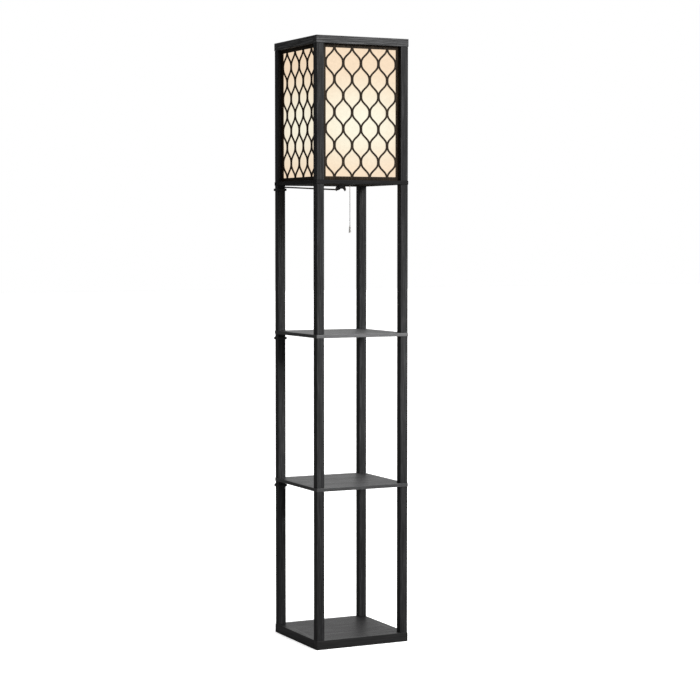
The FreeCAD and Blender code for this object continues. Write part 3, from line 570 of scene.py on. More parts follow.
def glow_painted_linen(name, across_axis, glow):
    """Linen-faced sheet with the bulb's glow painted in as emission, as if lit from behind by the
    bulb.
    """
    material, tree, shader = new_material(name)
    place = object_place(tree)
    parts = add_node(tree, "SeparateXYZ", {"Vector": place}).outputs
    upward, across = parts["Z"], parts[across_axis]
    vectors = (place, turned_place(tree, place, across_axis))
    slubs = [stretched_noise(tree, vector, 900.0, 30.0, 2.0) for vector in vectors]
    weave = weave_height(tree, upward, across)
    cloth = maths(tree, "MULTIPLY", maths(tree, "ADD", *slubs), weave)

    # Painted light: the glow is brightest at the bulb's height and fades with distance, more slowly
    # sideways.
    level = maths(tree, "ADD", upward, -glow.height)
    aside = maths(tree, "MULTIPLY", across, glow.sideways)
    squares = [maths(tree, "MULTIPLY", part, part) for part in (level, aside)]
    distance = maths(tree, "POWER", maths(tree, "ADD", *squares), 0.5)
    fade = spread(tree, distance, (0.0, glow.reach), interpolation_type="SMOOTHSTEP")
    light = mixed(tree, fade, rgba(glow.middle), rgba(glow.rim))
    threads = spread(tree, cloth, (0.0, 2.0), THREAD_SHADE)
    clouds = spread(tree, noise(tree, place, 170.0, 2.0), (0.3, 0.7), CLOUD_SHADE)
    shade = maths(tree, "MULTIPLY", threads, clouds)
    woven = add_node(tree, "CombineColor", {0: shade, 1: shade, 2: shade}).outputs[0]
    look = {
        "Emission Color": mixed(tree, 1.0, light, woven, "MULTIPLY"),
        "Emission Strength": glow.strength,
        "Base Color": mixed(tree, 1.0, rgba(glow.linen), woven, "MULTIPLY"),
        "Roughness": 0.9,
        "Normal": relief(tree, cloth, 0.3, 0.0002),
    }
    feed(tree, shader, look)
    return material


# ---- pieces


WELD_DISTANCE = 1e-5
SHARP_CORNER = math.radians(60)


class LAMP_OT_wood(bpy.types.Operator):
    """Finish the posts, rails, shelves and boards in dark laminate"""

    bl_idname = "lamp.wood"
    bl_label = "Posts and Boards"

    def execute(self, context):
        wood = context.scene.lamp_wood
        tones = (wood.ground, wood.grain)
        # Painted shade: the darker copy for the base rails and board, where less light falls.
        painted_shade_tones = (wood.painted_shade_ground, wood.painted_shade_grain)
        upright = laminate("Post laminate", "Z", *tones)
        # Painted light: the lighter copy of the laminate for the top frame, where the light is
        # strongest.
        painted_light_top_tones = (wood.ground, wood.painted_light_top_grain)
        rails = {}
        for axis, low, top in (("X", "Rail", "Top rail"), ("Y", "Side rail", "Top side rail")):
            low = laminate(f"{low} laminate", axis, *painted_shade_tones, roughness=0.42, specular=0.4)
            rails[axis] = (low, laminate(f"{top} laminate", axis, *painted_light_top_tones, specular=0.3))
        nodes = []
        for level in LEVELS:
            for corner in CORNERS:
                nodes.append(dress_node(f"{level}_post_{corner}", upright))
        for side, turn in SIDES:
            low, top = rails["Y" if turn % 180 else "X"]
            nodes.append(dress_node(f"base_rail_{side}", low))
            nodes.append(dress_node(f"top_rail_{side}", top))
        # The shelves' edge bands carry the painted highlights; the base board and the shade floor
        # take the painted shade tones.
        boards = (
            ("lower_shelf", "Lower shelf", tones, 0.40, 0.4, wood.low_painted_edge_sheen),
            ("upper_shelf", "Upper shelf", tones, 0.40, 0.4, wood.painted_edge_sheen),
            ("base_panel", "Board", painted_shade_tones, 0.40, 0.27, None),
            ("shade_floor", "Shade floor", (wood.ground, wood.painted_shade_grain), 0.55, 0.08, None),
        )
        for name, label, pair, roughness, specular, sheen_tone in boards:
            label = f"{label} laminate"
            board = laminate(label, "X", *pair, roughness, specular=specular, sheen_tone=sheen_tone)
            nodes.append(dress_node(name, board))
        for node in nodes:
            node.modifiers.new("Whole skin", "WELD").merge_threshold = WELD_DISTANCE
            edge = node.modifiers.new("Eased edges", "BEVEL")
            edge.width = wood.edge_round
            edge.segments = 2
            edge.limit_method = "ANGLE"
            edge.angle_limit = SHARP_CORNER
        return {"FINISHED"}


def half_width(height, pitch, half_pitch, sizes):
    """Half the width of an ogee opening at a height above its middle."""
    turn = math.tau * height / pitch
    swing = half_pitch - 2 * sizes.strand_offset
    middle = half_pitch - sizes.strand_offset - swing * (turn - math.sin(turn)) / math.tau
    slope = swing * (1 - math.cos(turn)) / pitch
    return middle - sizes.strand / 2 * math.hypot(1, slope)


def tip_height(pitch, half_pitch, sizes):
    """Where the two sides of an opening meet, found by halving."""
    low, high = pitch / 2, pitch
    for _ in range(40):
        middle = (low + high) / 2
        if half_width(middle, pitch, half_pitch, sizes) > 0:
            low = middle
        else:
            high = middle
    return low


OPENING_STEPS = 22
LEAST_OPENING = 4 * MM
LEAST_STEP = 0.05 * MM


def opening_outline(x, z, pitch, half_pitch, tip, limits, sizes):
    """Outline of one opening, cut off at the lattice's window."""
    reach, bottom, top = limits
    low, high = max(-tip, bottom - z), min(tip, top - z)
    if high - low < LEAST_OPENING:
        return []
    heights = [low + (high - low) * step / OPENING_STEPS for step in range(OPENING_STEPS + 1)]
    sides = []
    for side in (1, -1):
        on_window_edge = side * x > reach - MM
        if on_window_edge:
            sides.append([(x, z + height) for height in (low, high)])
        else:
            widths = [max(half_width(abs(at), pitch, half_pitch, sizes), 0) for at in heights]
            sides.append([(x + side * width, z + at) for width, at in zip(widths, heights)])
    kept = []
    for point in sides[0] + sides[1][::-1]:
        if not kept or math.dist(point, kept[-1]) > LEAST_STEP:
            kept.append(point)
    if math.dist(kept[0], kept[-1]) <= LEAST_STEP:
        kept.pop()
    return kept


def lattice_outlines(width, height, sizes):
    """The panel's outline and every opening, x across and z up from the panel's lower edge."""
    reach = width / 2 - sizes.border
    half_pitch = reach / sizes.columns
    pitch = (height - 2 * sizes.border) / (sizes.rows - 1 + 2 * sizes.edge_share)
    tip = tip_height(pitch, half_pitch, sizes)
    limits = (reach, sizes.border, height - sizes.border)
    outlines = [[(-width / 2, 0), (width / 2, 0), (width / 2, height), (-width / 2, height)]]
    for row in range(-1, sizes.rows + 1):
        z = height / 2 + (row - (sizes.rows - 1) / 2) * pitch
        extra = row % 2
        for column in range(sizes.columns + extra):
            x = (column - (sizes.columns - 1 + extra) / 2) * 2 * half_pitch
            outline = opening_outline(x, z, pitch, half_pitch, tip, limits, sizes)
            if outline:
                outlines.append(outline)
    return outlines


def cut_plate(name, outlines, thickness, edge):
    """A flat board with openings, from closed outlines, about the XY plane."""
    curve = bpy.data.curves.new(name, "CURVE")
    curve.dimensions = "2D"
    curve.fill_mode = "BOTH"
    curve.extrude = thickness / 2 - edge
    curve.bevel_depth = edge
    curve.bevel_resolution = 1
    curve.offset = -edge
    for outline in outlines:
        spline = curve.splines.new("POLY")
        spline.points.add(len(outline) - 1)
        for point, (x, y) in zip(spline.points, outline):
            point.co = (x, y, 0, 1)
        spline.use_cyclic_u = True
    holder = new_object(name, curve)
    drawn = holder.evaluated_get(bpy.context.evaluated_depsgraph_get())
    mesh = bpy.data.meshes.new_from_object(drawn)
    bpy.data.objects.remove(holder)
    bpy.data.curves.remove(curve)
    bm = bmesh.new()
    bm.from_mesh(mesh)
    bpy.data.meshes.remove(mesh)
    bmesh.ops.remove_doubles(bm, verts=bm.verts, dist=1e-6)
    return bm


class LAMP_OT_fretwork(bpy.types.Operator):
    """Cut the ogee lattice panels of the four sides of the shade"""

    bl_idname = "lamp.fretwork"
    bl_label = "Fretwork"

    def execute(self, context):
        sizes = context.scene.lamp_fretwork
        wood = context.scene.lamp_wood
        width = PANEL_HIGH.x - PANEL_LOW.x
        height = PANEL_HIGH.z - PANEL_LOW.z
        thickness = PANEL_HIGH.y - PANEL_LOW.y
        outlines = lattice_outlines(width, height, sizes)
        tones = (wood.fret_ground, wood.fret_grain)
        board = laminate("Fretwork board", "Z", *tones, roughness=0.6, bump=0.12)
        place = Matrix.Translation((0, (PANEL_HIGH.y + PANEL_LOW.y) / 2, PANEL_LOW.z))
        for side, turn in SIDES:
            name = f"lattice_{side}"
            panel = cut_plate(name, outlines, thickness, sizes.edge_round)
            moved(panel, STAND_UP, place, Matrix.Rotation(math.radians(turn), 4, "Z"))
            add_shape(name, panel, board, f"fretwork_{side}")
        return {"FINISHED"}


class LAMP_OT_diffusers(bpy.types.Operator):
    """Paint the bulb's glow into the linen sheets behind the fretwork"""

    bl_idname = "lamp.diffusers"
    bl_label = "Diffusers"

    def execute(self, context):
        glow = context.scene.lamp_glow
        for axis, sides in (("X", ("front", "back")), ("Y", ("left", "right"))):
            linen = glow_painted_linen(f"Painted glow linen {axis}", axis, glow)
            for side in sides:
                dress_node(f"diffuser_{side}", linen)
        return {"FINISHED"}


# Corners of a wing, as shares of half the wing span and of the drop to the wing's tip. Its
# root lies inside the hub, from one share of the drop to another.
WING_LEAF = ((0.62, 0.06), (0.88, 0.27), (1.0, 0.58), (0.96, 0.83), (0.78, 1.0), (0.64, 0.76))
WING_RADII = (0.5, 2.2, 2.8, 2.8, 2.2, 1.8, 2.2, 0.5)
ROOT_RADIUS, ROOT_TOP, ROOT_FOOT = 5.5, 0.08, 0.5


class LAMP_OT_wing_nut(bpy.types.Operator):
    """Make the wing nut and the threaded tube that clamp the lamp holder"""

    bl_idname = "lamp.wing_nut"
    bl_label = "Wing Nut"

    def execute(self, context):
        low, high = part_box("wing_nut")
        drop = (high.z - low.z) / MM
        half_span = (high.x - low.x) / 2 / MM
        hub = [(5.1, -9.0), (5.6, -9.4), (6.0, -9.0), (6.3, -7.5), (7.2, -3.0)]
        hub += [(7.9, -1.2), (8.0, -0.4), (7.6, 0.0), (5.1, 0.0)]
        leaf = [(half_span * outward, -drop * down) for outward, down in WING_LEAF]
        leaf = [(ROOT_RADIUS, -drop * ROOT_TOP), *leaf, (ROOT_RADIUS, -drop * ROOT_FOOT)]
        leaf = rounded_outline(leaf, WING_RADII, 5)
        parts = [turned_shape(in_metres(hub), 40)]
        for turn in (0, math.pi):
            wing = plate_shape(leaf, thickness=2.6 * MM, edge=0.9 * MM, segments=3)
            parts.append(moved(wing, STAND_UP, Matrix.Rotation(turn, 4, "Z")))
        nut = shifted(joined(parts), z=high.z)
        steel = metal("Dark steel", (0.085, 0.085, 0.09), 0.38, metallic=0.9)
        add_shape("wing_nut_cast", nut, steel, "wing_nut")

        low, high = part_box("threaded_nipple")
        bottom, top = low.z / MM, high.z / MM
        profile = [(4.5, bottom)]
        profile += thread(bottom + 0.6, top - 0.6, pitch=1.0, root=4.65, crest=5.0)
        profile += [(4.5, top), (3.5, top), (3.5, bottom)]
        tube = turned_shape(in_metres(profile), 32)
        zinc = metal("Zinc steel", (0.55, 0.56, 0.58), 0.32)
        add_shape("threaded_tube", tube, zinc, "threaded_nipple", sharp_angle=60)
        for name in ("base_bolts", "joining_studs"):
            dress_node(name, zinc)
        dress_node("top_frame_dowels", dowel_wood())
        return {"FINISHED"}


class LAMP_OT_holder(bpy.types.Operator):
    """Make the pull-chain lamp holder"""

    bl_idname = "lamp.holder"
    bl_label = "Lamp Holder"

    def execute(self, context):
        brass = metal("Holder brass", (0.62, 0.47, 0.24), 0.30)
        phenolic = moulded("Dark phenolic", (0.035, 0.025, 0.02), 0.45)

        def lathe(name, rise, profile, material, node):
            """Turn a profile whose heights count from this rise above the shade floor."""
            shape = turned_shape(in_metres(profile, FLOOR_TOP / MM + rise))
            add_shape(name, shape, material, node)

        cup = [(5.1, 0), (14.5, 0), (16.2, 0.5), (17.2, 2.2), (17.5, 4.5), (17.5, 15.5)]
        cup += [(17.1, 16.5), (17.5, 17.5), (17.5, 20), (16.1, 20), (16.1, 5)]
        cup += [(15.0, 2.0), (13.8, 1.4), (5.1, 1.4)]
        lathe("holder_cup", 0, cup, brass, "holder_cap")
        sleeve = [(17.6, 0), (19.0, 0), (19.0, 6), (18.6, 7), (19.0, 8), (19.0, 37)]
        sleeve += [(18.5, 38), (19.0, 39), (19.0, 45), (18.7, 46), (17.9, 46), (17.6, 45)]
        lathe("holder_sleeve", 15, sleeve, brass, "holder_shell")
        core = [(0, 0), (15.2, 0), (16.0, 0.8), (16.0, 19.2), (15.2, 20), (0, 20)]
        lathe("switch_core", 9, core, phenolic, "switch_block")
        screw = thread(0, 25, pitch=3.6, root=13.55, crest=13.95)
        screw += [(radius - 0.4, height) for radius, height in reversed(screw)]
        lathe("screw_sleeve", 29, screw, brass, "screw_shell")
        dress_node("centre_contact", brass)
        return {"FINISHED"}


NECK_RADIUS = 14.2 * MM
NECK_STEPS = 12
NECK_POWER = 1.8
# The bulb's round end begins this far below its widest place.
SHOULDER = math.radians(32)
ROUND_STEPS = 24


def bulb_profile(fittings):
    """Outline of the glass: a neck that widens into a round end."""
    low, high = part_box("bulb_glass")
    radius = fittings.bulb_radius
    middle = high.z - radius
    rise = middle - radius * math.sin(SHOULDER) - low.z
    flare = radius * math.cos(SHOULDER) - NECK_RADIUS
    profile = [(0, low.z)]
    for step in range(NECK_STEPS):
        share = step / NECK_STEPS
        profile.append((NECK_RADIUS + flare * share**NECK_POWER, low.z + rise * share))
    for step in range(ROUND_STEPS + 1):
        turn = (math.pi / 2 + SHOULDER) * step / ROUND_STEPS - SHOULDER
        profile.append((radius * math.cos(turn), middle + radius * math.sin(turn)))
    return profile


class LAMP_OT_bulb(bpy.types.Operator):
    """Make the screw cap and the frosted glass of the bulb"""

    bl_idname = "lamp.bulb"
    bl_label = "Bulb"

    def execute(self, context):
        fittings = context.scene.lamp_fittings
        low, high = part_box("bulb_cap")
        seat, top = low.z / MM, high.z / MM
        pitch = fittings.thread_pitch / MM
        cap = [(0, seat), (4.4, seat), (4.6, seat + 0.8), (6.5, seat + 2.6), (11.6, seat + 4.6)]
        cap += thread(seat + 5.2, top - 4, pitch, root=12.2, crest=13.0)
        cap += [(12.6, top - 2.5), (12.9, top), (0, top)]
        shape = turned_shape(in_metres(cap))
        steel = metal("Bulb cap metal", (0.66, 0.66, 0.67), 0.28)
        add_shape("bulb_screw_cap", shape, steel, "bulb_cap", "bulb", 50)
        shape = turned_shape(bulb_profile(fittings), 64)
        add_shape("bulb_envelope", shape, frosted_glass(), "bulb_glass", "bulb")
        return {"FINISHED"}


def ball_chain(x, top, bottom, fittings):
    """Beads on a wire, hanging from top to bottom."""
    parts = []
    beads = max(1, round((top - bottom) / fittings.bead_pitch))
    pitch = (top - bottom) / beads
    for index in range(beads):
        bead = bmesh.new()
        bmesh.ops.create_icosphere(bead, subdivisions=2, radius=fittings.bead / 2)
        parts.append(shifted(bead, x, z=top - pitch * (index + 0.5)))
    radius = fittings.bead_wire / 2
    wire = turned_shape([(0, bottom), (radius, bottom), (radius, top), (0, top)], 8)
    return joined(parts + [shifted(wire, x)])


class LAMP_OT_pull_chain(bpy.types.Operator):
    """Make the spout, the ball chain and its bell"""

    bl_idname = "lamp.pull_chain"
    bl_label = "Pull Chain"

    def execute(self, context):
        fittings = context.scene.lamp_fittings
        brass = bpy.data.materials["Holder brass"]
        steel = metal("Chain steel", (0.62, 0.62, 0.63), 0.25)
        pale = moulded("Bell plastic", (0.72, 0.71, 0.68), 0.35, variation=0.1)
        low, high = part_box("chain_link")
        spout_low, spout_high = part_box("chain_spout")
        bell_low, bell_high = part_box("chain_bell")
        x = (low.x + high.x) / 2

        crown = (spout_high.z - spout_low.z) / MM
        profile = [(1.6, 2), (2.4, 0), (3.2, 0.2), (2.9, 2.5), (2.7, 5), (2.9, crown - 3)]
        profile += [(2.4, crown - 0.8), (1.2, crown), (0, crown), (0, crown - 2), (1.6, crown - 2)]
        spout = shifted(turned_shape(in_metres(profile, spout_low.z / MM), 32), x)
        radius, reach = 2.4 * MM, x - spout_low.x
        arm = turned_shape([(0, 0), (radius, 0), (radius, reach), (0, reach)], 24)
        arm_height = (spout_low.z + spout_high.z) / 2
        arm = shifted(moved(arm, ALONG_X), spout_low.x, z=arm_height)
        mouth = joined([spout, arm])
        add_shape("chain_mouth", mouth, brass, "chain_spout")

        beads = ball_chain(x, high.z, low.z, fittings)
        add_shape("chain_top_beads", beads, steel, "chain_link", "chain_link")
        beads = ball_chain(x, fittings.chain_pivot + 1.2 * MM, bell_high.z, fittings)
        add_shape("chain_beads", beads, steel, "pull_chain", "pull_chain")
        bell = [(0, 3), (1.9, 2.2), (2.5, 0.4), (2.9, 0), (3.3, 0.5), (3.2, 1.6), (2.75, 4)]
        bell += [(2.6, 9), (2.2, 14.5), (1.9, 17), (1.4, 18.4), (0.9, 19), (0, 19)]
        bell = shifted(turned_shape(in_metres(bell, bell_low.z / MM), 32), x)
        add_shape("chain_bell_turned", bell, pale, "chain_bell", "pull_chain")
        return {"FINISHED"}


# ---- cord

# The cord's route in millimetres, from the wing nut to where it lies on the floor.
CORD_ROUTE = (
    (0, 0, 1217),
    (0, 0, 1205.6),
    (-15, 18.9, 1206.8),
    (-94.5, 119.1, 1213.4),
    (-109.5, 138, 1214.6),
    (-118, 137, 1212.2),
    (-122, 136.4, 1202.5),
    (-122, 136.4, 1178),
    (-122.3, 136.4, 392),
    (-121.6, 137.3, 336),
    (-122.8, 138.2, 279),
    (-121.4, 137.4, 224),
    (-122.9, 138.3, 168),
    (-121.8, 137.6, 114),
    (-123.2, 138.4, 66),
    (-121.5, 138.4, 32),
    (-109, 138.1, 9),
    (-94, 138, 3.8),
)
HANK_LEAD = 0.008
HANK_FLOOR_RUNS = 4
HANK_TOP_RUNS = 2
# A run's ends stay this share of its offset short of the turns.
RUN_EASE = 0.27
TURN_POINTS = 6
PLUG_TAIL = Vector((0.050, 0.148, 0.007))
# Along, across and up, as shares of the stretch from the hank to the plug.
TAIL_SHARES = ((0.16, 0.0, 1.0), (0.45, 0.5, 0.0), (0.68, 1.0, 0.3), (0.88, 1.0, 1.0))
TAIL_GAP = 0.1 * MM


def hank_middle(sizes):
    """The outermost run goes on from the end of the route."""
    end = Vector(CORD_ROUTE[-1]) * MM
    return end.x + HANK_LEAD + sizes.hank_half, end.y + outermost_run(sizes)


def outermost_run(sizes):
    return sizes.hank_inner + sizes.hank_step * (HANK_FLOOR_RUNS - 0.5) / 2


def hank_points(sizes):
    """Spiral in on the floor, climb along the innermost run, spiral out on top."""
    step = sizes.hank_step / 2
    offsets = [outermost_run(sizes) - step * run for run in range(HANK_FLOOR_RUNS + 1)]
    offsets += [offsets[-1] + step * run for run in range(1, HANK_TOP_RUNS + 1)]
    middle_x, middle_y = hank_middle(sizes)
    half_turn = math.pi / TURN_POINTS / 2
    low = sizes.hank_lift
    high = low + sizes.hank_layer
    last = len(offsets) - 1
    points = []
    for run, offset in enumerate(offsets):
        heading = -1 if run % 2 else 1
        side = -heading
        start_z = low if run <= HANK_FLOOR_RUNS else high
        end_z = low if run < HANK_FLOOR_RUNS else high
        y = middle_y + side * offset
        back = RUN_EASE * offset if run else 0.0
        ahead = RUN_EASE * offset if run < last else 0.0
        points.append((middle_x - heading * (sizes.hank_half - back), y, start_z))
        points.append((middle_x, y - side * sizes.hank_draw, (start_z + end_z) / 2))
        points.append((middle_x + heading * (sizes.hank_half - ahead), y, end_z))
        if run == last:
            break
        radius = (offset + offsets[run + 1]) / 2
        centre_y = middle_y + side * (offset - offsets[run + 1]) / 2
        reach = radius / math.cos(half_turn)
        for index in range(TURN_POINTS):
            turn = half_turn * (2 * index + 1)
            x = middle_x + heading * (sizes.hank_half + reach * math.sin(turn))
            points.append((x, centre_y + side * reach * math.cos(turn), end_z))
    return [Vector(point) for point in points]


def tail_points(start, sizes):
    """From the hank down to the floor and up into the plug."""
    floor = sizes.diameter / 2
    points = []
    for along, across, up in TAIL_SHARES:
        nearer = start.z if along < TAIL_SHARES[1][0] else PLUG_TAIL.z
        x = start.x + (PLUG_TAIL.x - start.x) * along
        y = start.y + (PLUG_TAIL.y - start.y) * across
        points.append(Vector((x, y, floor + (nearer - floor) * up + TAIL_GAP)))
    return points + [PLUG_TAIL]


class LAMP_OT_cord(bpy.types.Operator):
    """Lay the cord from the wing nut to the plug, with its spare length in a hank"""

    bl_idname = "lamp.cord"
    bl_label = "Cord"

    def execute(self, context):
        sizes = context.scene.lamp_cord
        points = [Vector(point) * MM for point in CORD_ROUTE] + hank_points(sizes)
        points.append(points[-1] + Vector((HANK_LEAD, 0, 0)))
        points += tail_points(points[-1], sizes)
        curve = bpy.data.curves.new("lamp_cord", "CURVE")
        curve.dimensions = "3D"
        curve.bevel_depth = sizes.diameter / 2
        curve.bevel_resolution = 4
        curve.resolution_u = 6
        curve.use_fill_caps = True
        spline = curve.splines.new("NURBS")
        spline.points.add(len(points) - 1)
        for control, point in zip(spline.points, points):
            control.co = (*point, 1)
        spline.order_u = 3
        spline.use_endpoint_u = True
        rubber = moulded("Cord rubber", (0.006, 0.006, 0.0065), 0.55)
        nodes = ("cord", "cord_hank", "cord_tail")
        cord = add_piece("lamp_cord", curve, "frame", rubber, *nodes)
        add_plug()
        add_hank_strap(sizes)
        return {"FINISHED"}


# One rib of the plug's strain relief: below the rib's radius, and along from its start.
RELIEF_RIB = ((0.3, 0.0), (0.0, 0.3), (0.0, 2.1), (0.3, 2.4), (0.7, 2.6), (0.7, 3.0))
GRIP_CORNERS = ((0, -5.5), (11.7, -12), (26, -12), (26, 12), (11.7, 12), (0, 5.5))
GRIP_RADII = (3.0, 8.0, 2.0, 2.0, 8.0, 3.0)
GRIP_START, GRIP_THICKNESS = 20, 14
BLADE_START, BLADE_LENGTH, BLADE_HALF_WIDTH, BLADE_ASIDE = 46, 16, 3.15, 6.35
BLADE_THICKNESS, BLADE_EDGE = 1.5, 0.2
HOLE_START, HOLE_RADIUS, HOLE_STEPS = 11.5, 1.5, 20


def add_plug():
    """Two-blade plug: ribbed strain relief, moulded grip and flat blades."""
    profile = [(0, 0), (2.1, 0)]
    for index in range(6):
        radius, start = 2.8 + 0.36 * index, 0.4 + 3.2 * index
        profile += [(radius - below, start + along) for below, along in RELIEF_RIB]
    profile += [(4.6, 19.8), (4.6, 20.4), (0, 20.4)]
    sleeve = moved(turned_shape(in_metres(profile), 28), ALONG_X)
    outline = rounded_outline(GRIP_CORNERS, GRIP_RADII)
    grip = plate_shape(outline, GRIP_THICKNESS * MM, edge=3.2 * MM, segments=5)
    parts = [sleeve, shifted(grip, GRIP_START * MM)]
    for side in (-1, 1):
        for index in range(5):
            rib = block_shape((1.2 * MM, 12 * MM, 1.0 * MM), 0.4 * MM)
            parts.append(shifted(rib, (33 + 2.4 * index) * MM, z=side * 6.5 * MM))
    plug = shifted(joined(parts), *PLUG_TAIL)
    plastic = moulded("Plug plastic", (0.02, 0.02, 0.021), 0.42)
    add_shape("plug_grip", plug, plastic, "plug_body")

    tip, half = BLADE_LENGTH, BLADE_HALF_WIDTH
    outline = [(0, -half), (tip, -half), (tip, half), (0, half)]
    turns = [math.tau * step / HOLE_STEPS for step in range(HOLE_STEPS)]
    hole = [(HOLE_START + HOLE_RADIUS * math.cos(t), HOLE_RADIUS * math.sin(t)) for t in turns]
    outlines = [rounded_outline(outline, (0.1, 1.6, 1.6, 0.1)), in_metres(hole)]
    blades = []
    for side in (-1, 1):
        blade = cut_plate("blade", outlines, BLADE_THICKNESS * MM, BLADE_EDGE * MM)
        blades.append(shifted(moved(blade, STAND_UP), BLADE_START * MM, side * BLADE_ASIDE * MM))
    prongs = shifted(joined(blades), *PLUG_TAIL)
    brass = metal("Blade brass", (0.72, 0.58, 0.34), 0.25)
    add_shape("plug_prongs", prongs, brass, "plug_blades")


HANK_STRAP_WALL = 1.0
HANK_STRAP_BEND = 3.2


def add_hank_strap(sizes):
    """Strap round the waist of the hank."""
    low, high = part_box("hank_tie")
    middle_x, middle_y = hank_middle(sizes)

    def loop(inset):
        side = (high.y - low.y) / 2 / MM - inset
        roof = high.z / MM - inset
        corners = [(-side, inset), (side, inset), (side, roof), (-side, roof)]
        return rounded_outline(corners, [HANK_STRAP_BEND - inset] * 4)

    strap = strap_shape(loop(HANK_STRAP_WALL), loop(0), high.x - low.x, 0.3 * MM)
    turn = Matrix(((0, 0, 1, middle_x), (1, 0, 0, middle_y), (0, 1, 0, 0), (0, 0, 0, 1)))
    rubber = moulded("Tie rubber", (0.008, 0.008, 0.0085), 0.6)
    add_shape("hank_strap", moved(strap, turn), rubber, "hank_tie")


# Straps on the post: a square loop with a ridge over the cord, in millimetres.
TIE_WALL = 3.2
TIE_ROOF = 6.0
TIE_RIDGE = 4.6
TIE_INNER_RADII = (0.4, 0.4, 1.2, 1.5, 1.5, 1.2)
TIE_OUTER_RADII = (2.4, 2.4, 2.5, 2.5, 2.5, 2.5)
TIE_WIDTH = 6.5
TIE_DROP = 11


class LAMP_OT_cord_ties(bpy.types.Operator):
    """Make the three straps that hold the cord to the rear left post"""

    bl_idname = "lamp.cord_ties"
    bl_label = "Cord Ties"

    def execute(self, context):
        rubber = bpy.data.materials["Tie rubber"]
        low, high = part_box("upper_post_back_left")
        x, y = (low.x + high.x) / 2, (low.y + high.y) / 2
        post = (high.x - low.x) / 2 / MM
        roof = post + TIE_ROOF
        inner = [(post, -post), (post, post), (TIE_RIDGE, roof)]
        outside = post + TIE_WALL
        outer = [(outside, -outside), (outside, post + TIE_WALL / 2)]
        outer += [(TIE_RIDGE + TIE_WALL / 2, roof + TIE_WALL)]
        loops = []
        for half, radii in ((inner, TIE_INNER_RADII), (outer, TIE_OUTER_RADII)):
            mirrored = [(-across, back) for across, back in half]
            corners = mirrored[:1] + half + mirrored[:0:-1]
            loops.append(rounded_outline(corners, radii))
        straps = []
        for board in ("shade_floor", "upper_shelf", "lower_shelf"):
            strap = strap_shape(*loops, TIE_WIDTH * MM, 0.5 * MM)
            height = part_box(board)[0].z - TIE_DROP * MM
            straps.append(shifted(strap, x, y, height))
        add_shape("post_straps", joined(straps), rubber, "cord_ties")
        return {"FINISHED"}


# ---- stage


def soft_light(name, kind, place, target, power, **settings):
    light = bpy.data.lights.new(name, kind)
    light.energy = power
    for setting, value in settings.items():
        setattr(light, setting, value)
    turn = (Vector(target) - Vector(place)).to_track_quat("-Z", "Y").to_euler()
    holder = new_object(name, light, place, turn)
    if kind == "AREA":
        holder.visible_camera = False


def add_floor(studio):
    """Pale floor that answers the camera's rays and other rays differently."""
    bm = bmesh.new()
    bmesh.ops.create_grid(bm, x_segments=1, y_segments=1, size=30.0)
    mesh = bpy.data.meshes.new("pale_floor")
    bm.to_mesh(mesh)
    bm.free()
    floor = new_object("pale_floor", mesh)
    material, tree, shader = new_material("Pale floor")
    seen = add_node(tree, "LightPath").outputs["Is Camera Ray"]
    look = {
        "Base Color": mixed(tree, seen, rgba(studio.floor_bounce), rgba(studio.floor_tone)),
        "Roughness": 0.9,
        "Emission Color": WHITE,
        "Emission Strength": maths(tree, "MULTIPLY", seen, studio.floor_lift),
    }
    feed(tree, shader, look)
    mesh.materials.append(material)


# The surroundings go from dark to light between these headings, -1 left and 1 right.
SIDE_HEADINGS = (-0.3, 0.4)


def surroundings(studio):
    """White to the camera; to the lamp, dark on the left and light on the right."""
    world = bpy.data.worlds.new("Studio")
    world.use_nodes = True
    tree = world.node_tree
    seen = add_node(tree, "LightPath").outputs["Is Camera Ray"]
    direction = add_node(tree, "TexCoord").outputs["Generated"]
    heading = add_node(tree, "SeparateXYZ", {"Vector": direction}).outputs["X"]
    sides = (studio.dark_side, studio.light_side)
    around = spread(tree, heading, SIDE_HEADINGS, sides, interpolation_type="SMOOTHSTEP")
    strength = add_node(tree, "Mix", {0: seen, 2: around, 3: 1.0}, data_type="FLOAT").outputs[0]
    feed(tree, tree.nodes["Background"], {"Color": WHITE, "Strength": strength})
    return world


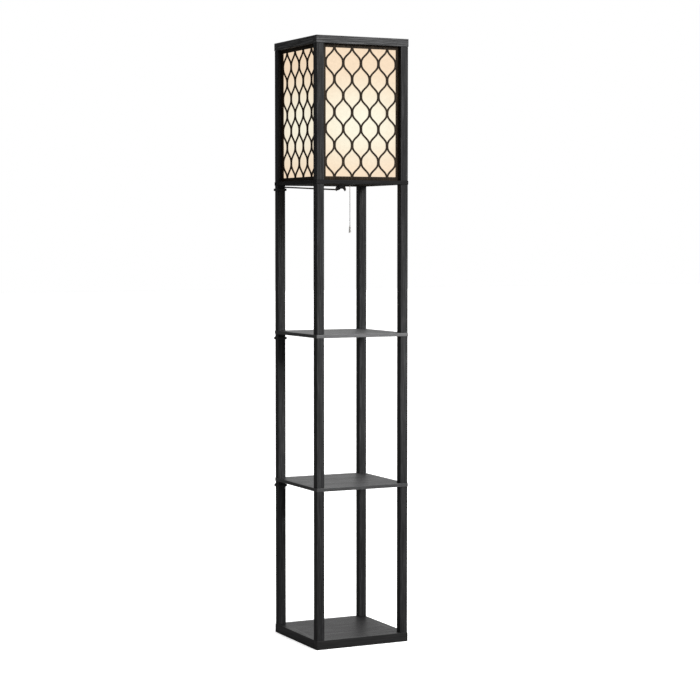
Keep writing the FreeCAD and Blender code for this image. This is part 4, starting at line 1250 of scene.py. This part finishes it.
class LAMP_OT_stage(bpy.types.Operator):
    """Set the pale floor, the soft light and the camera"""

    bl_idname = "lamp.stage"
    bl_label = "Stage"

    def execute(self, context):
        scene = context.scene
        studio = scene.lamp_studio
        add_floor(studio)
        scene.world = surroundings(studio)
        sun = bpy.data.lights.new("overhead", "SUN")
        sun.energy = studio.overhead
        sun.angle = math.radians(50)
        tilt = (math.radians(22), math.radians(12), 0)
        new_object("overhead", sun, turn=tilt)
        soft_light("key", "AREA", (1.3, -2.2, 2.4), (0, 0, 1.3), 58, size=1.2)
        soft_light("back_fill", "AREA", (0.3, 2.3, 3.3), (0, 0, 0.8), 34, size=1.0)
        spot = {"spot_size": math.radians(14), "spot_blend": 1.0, "shadow_soft_size": 0.25}
        soft_light("middle_fill", "SPOT", (0.5, -2.4, 1.5), (0, 0, 0.64), 250, **spot)

        camera = bpy.data.cameras.new("Camera")
        camera.sensor_width = 36.0
        camera.lens = studio.camera_lens
        camera.shift_y = studio.camera_shift
        camera.clip_end = 100.0
        turn = (math.pi / 2 + studio.camera_pitch, 0, studio.camera_yaw)
        scene.camera = new_object("Camera", camera, studio.camera_place, turn)
        scene.view_settings.view_transform = "Standard"
        return {"FINISHED"}


PIECE_OPERATORS = (
    LAMP_OT_wood,
    LAMP_OT_fretwork,
    LAMP_OT_diffusers,
    LAMP_OT_wing_nut,
    LAMP_OT_holder,
    LAMP_OT_bulb,
    LAMP_OT_pull_chain,
    LAMP_OT_cord,
    LAMP_OT_cord_ties,
    LAMP_OT_stage,
)


class LAMP_PT_panel(bpy.types.Panel):
    """The lamp's pieces, in the order in which they are made"""

    bl_idname = "LAMP_PT_panel"
    bl_label = "Shelf Floor Lamp"
    bl_space_type = "VIEW_3D"
    bl_region_type = "UI"
    bl_category = "Lamp"

    def draw(self, context):
        for operator in PIECE_OPERATORS:
            self.layout.operator(operator.bl_idname)


CLASSES = tuple(group for _, group in SETTINGS) + PIECE_OPERATORS + (LAMP_PT_panel,)


def register():
    for item in CLASSES:
        bpy.utils.register_class(item)
    for name, group in SETTINGS:
        setattr(bpy.types.Scene, name, PointerProperty(type=group))


def unregister():
    for name, _ in SETTINGS:
        delattr(bpy.types.Scene, name)
    for item in reversed(CLASSES):
        bpy.utils.unregister_class(item)


def main():
    register()
    for operator in PIECE_OPERATORS:
        group, name = operator.bl_idname.split(".")
        getattr(getattr(bpy.ops, group), name)()


if __name__ == "__main__":
    main()
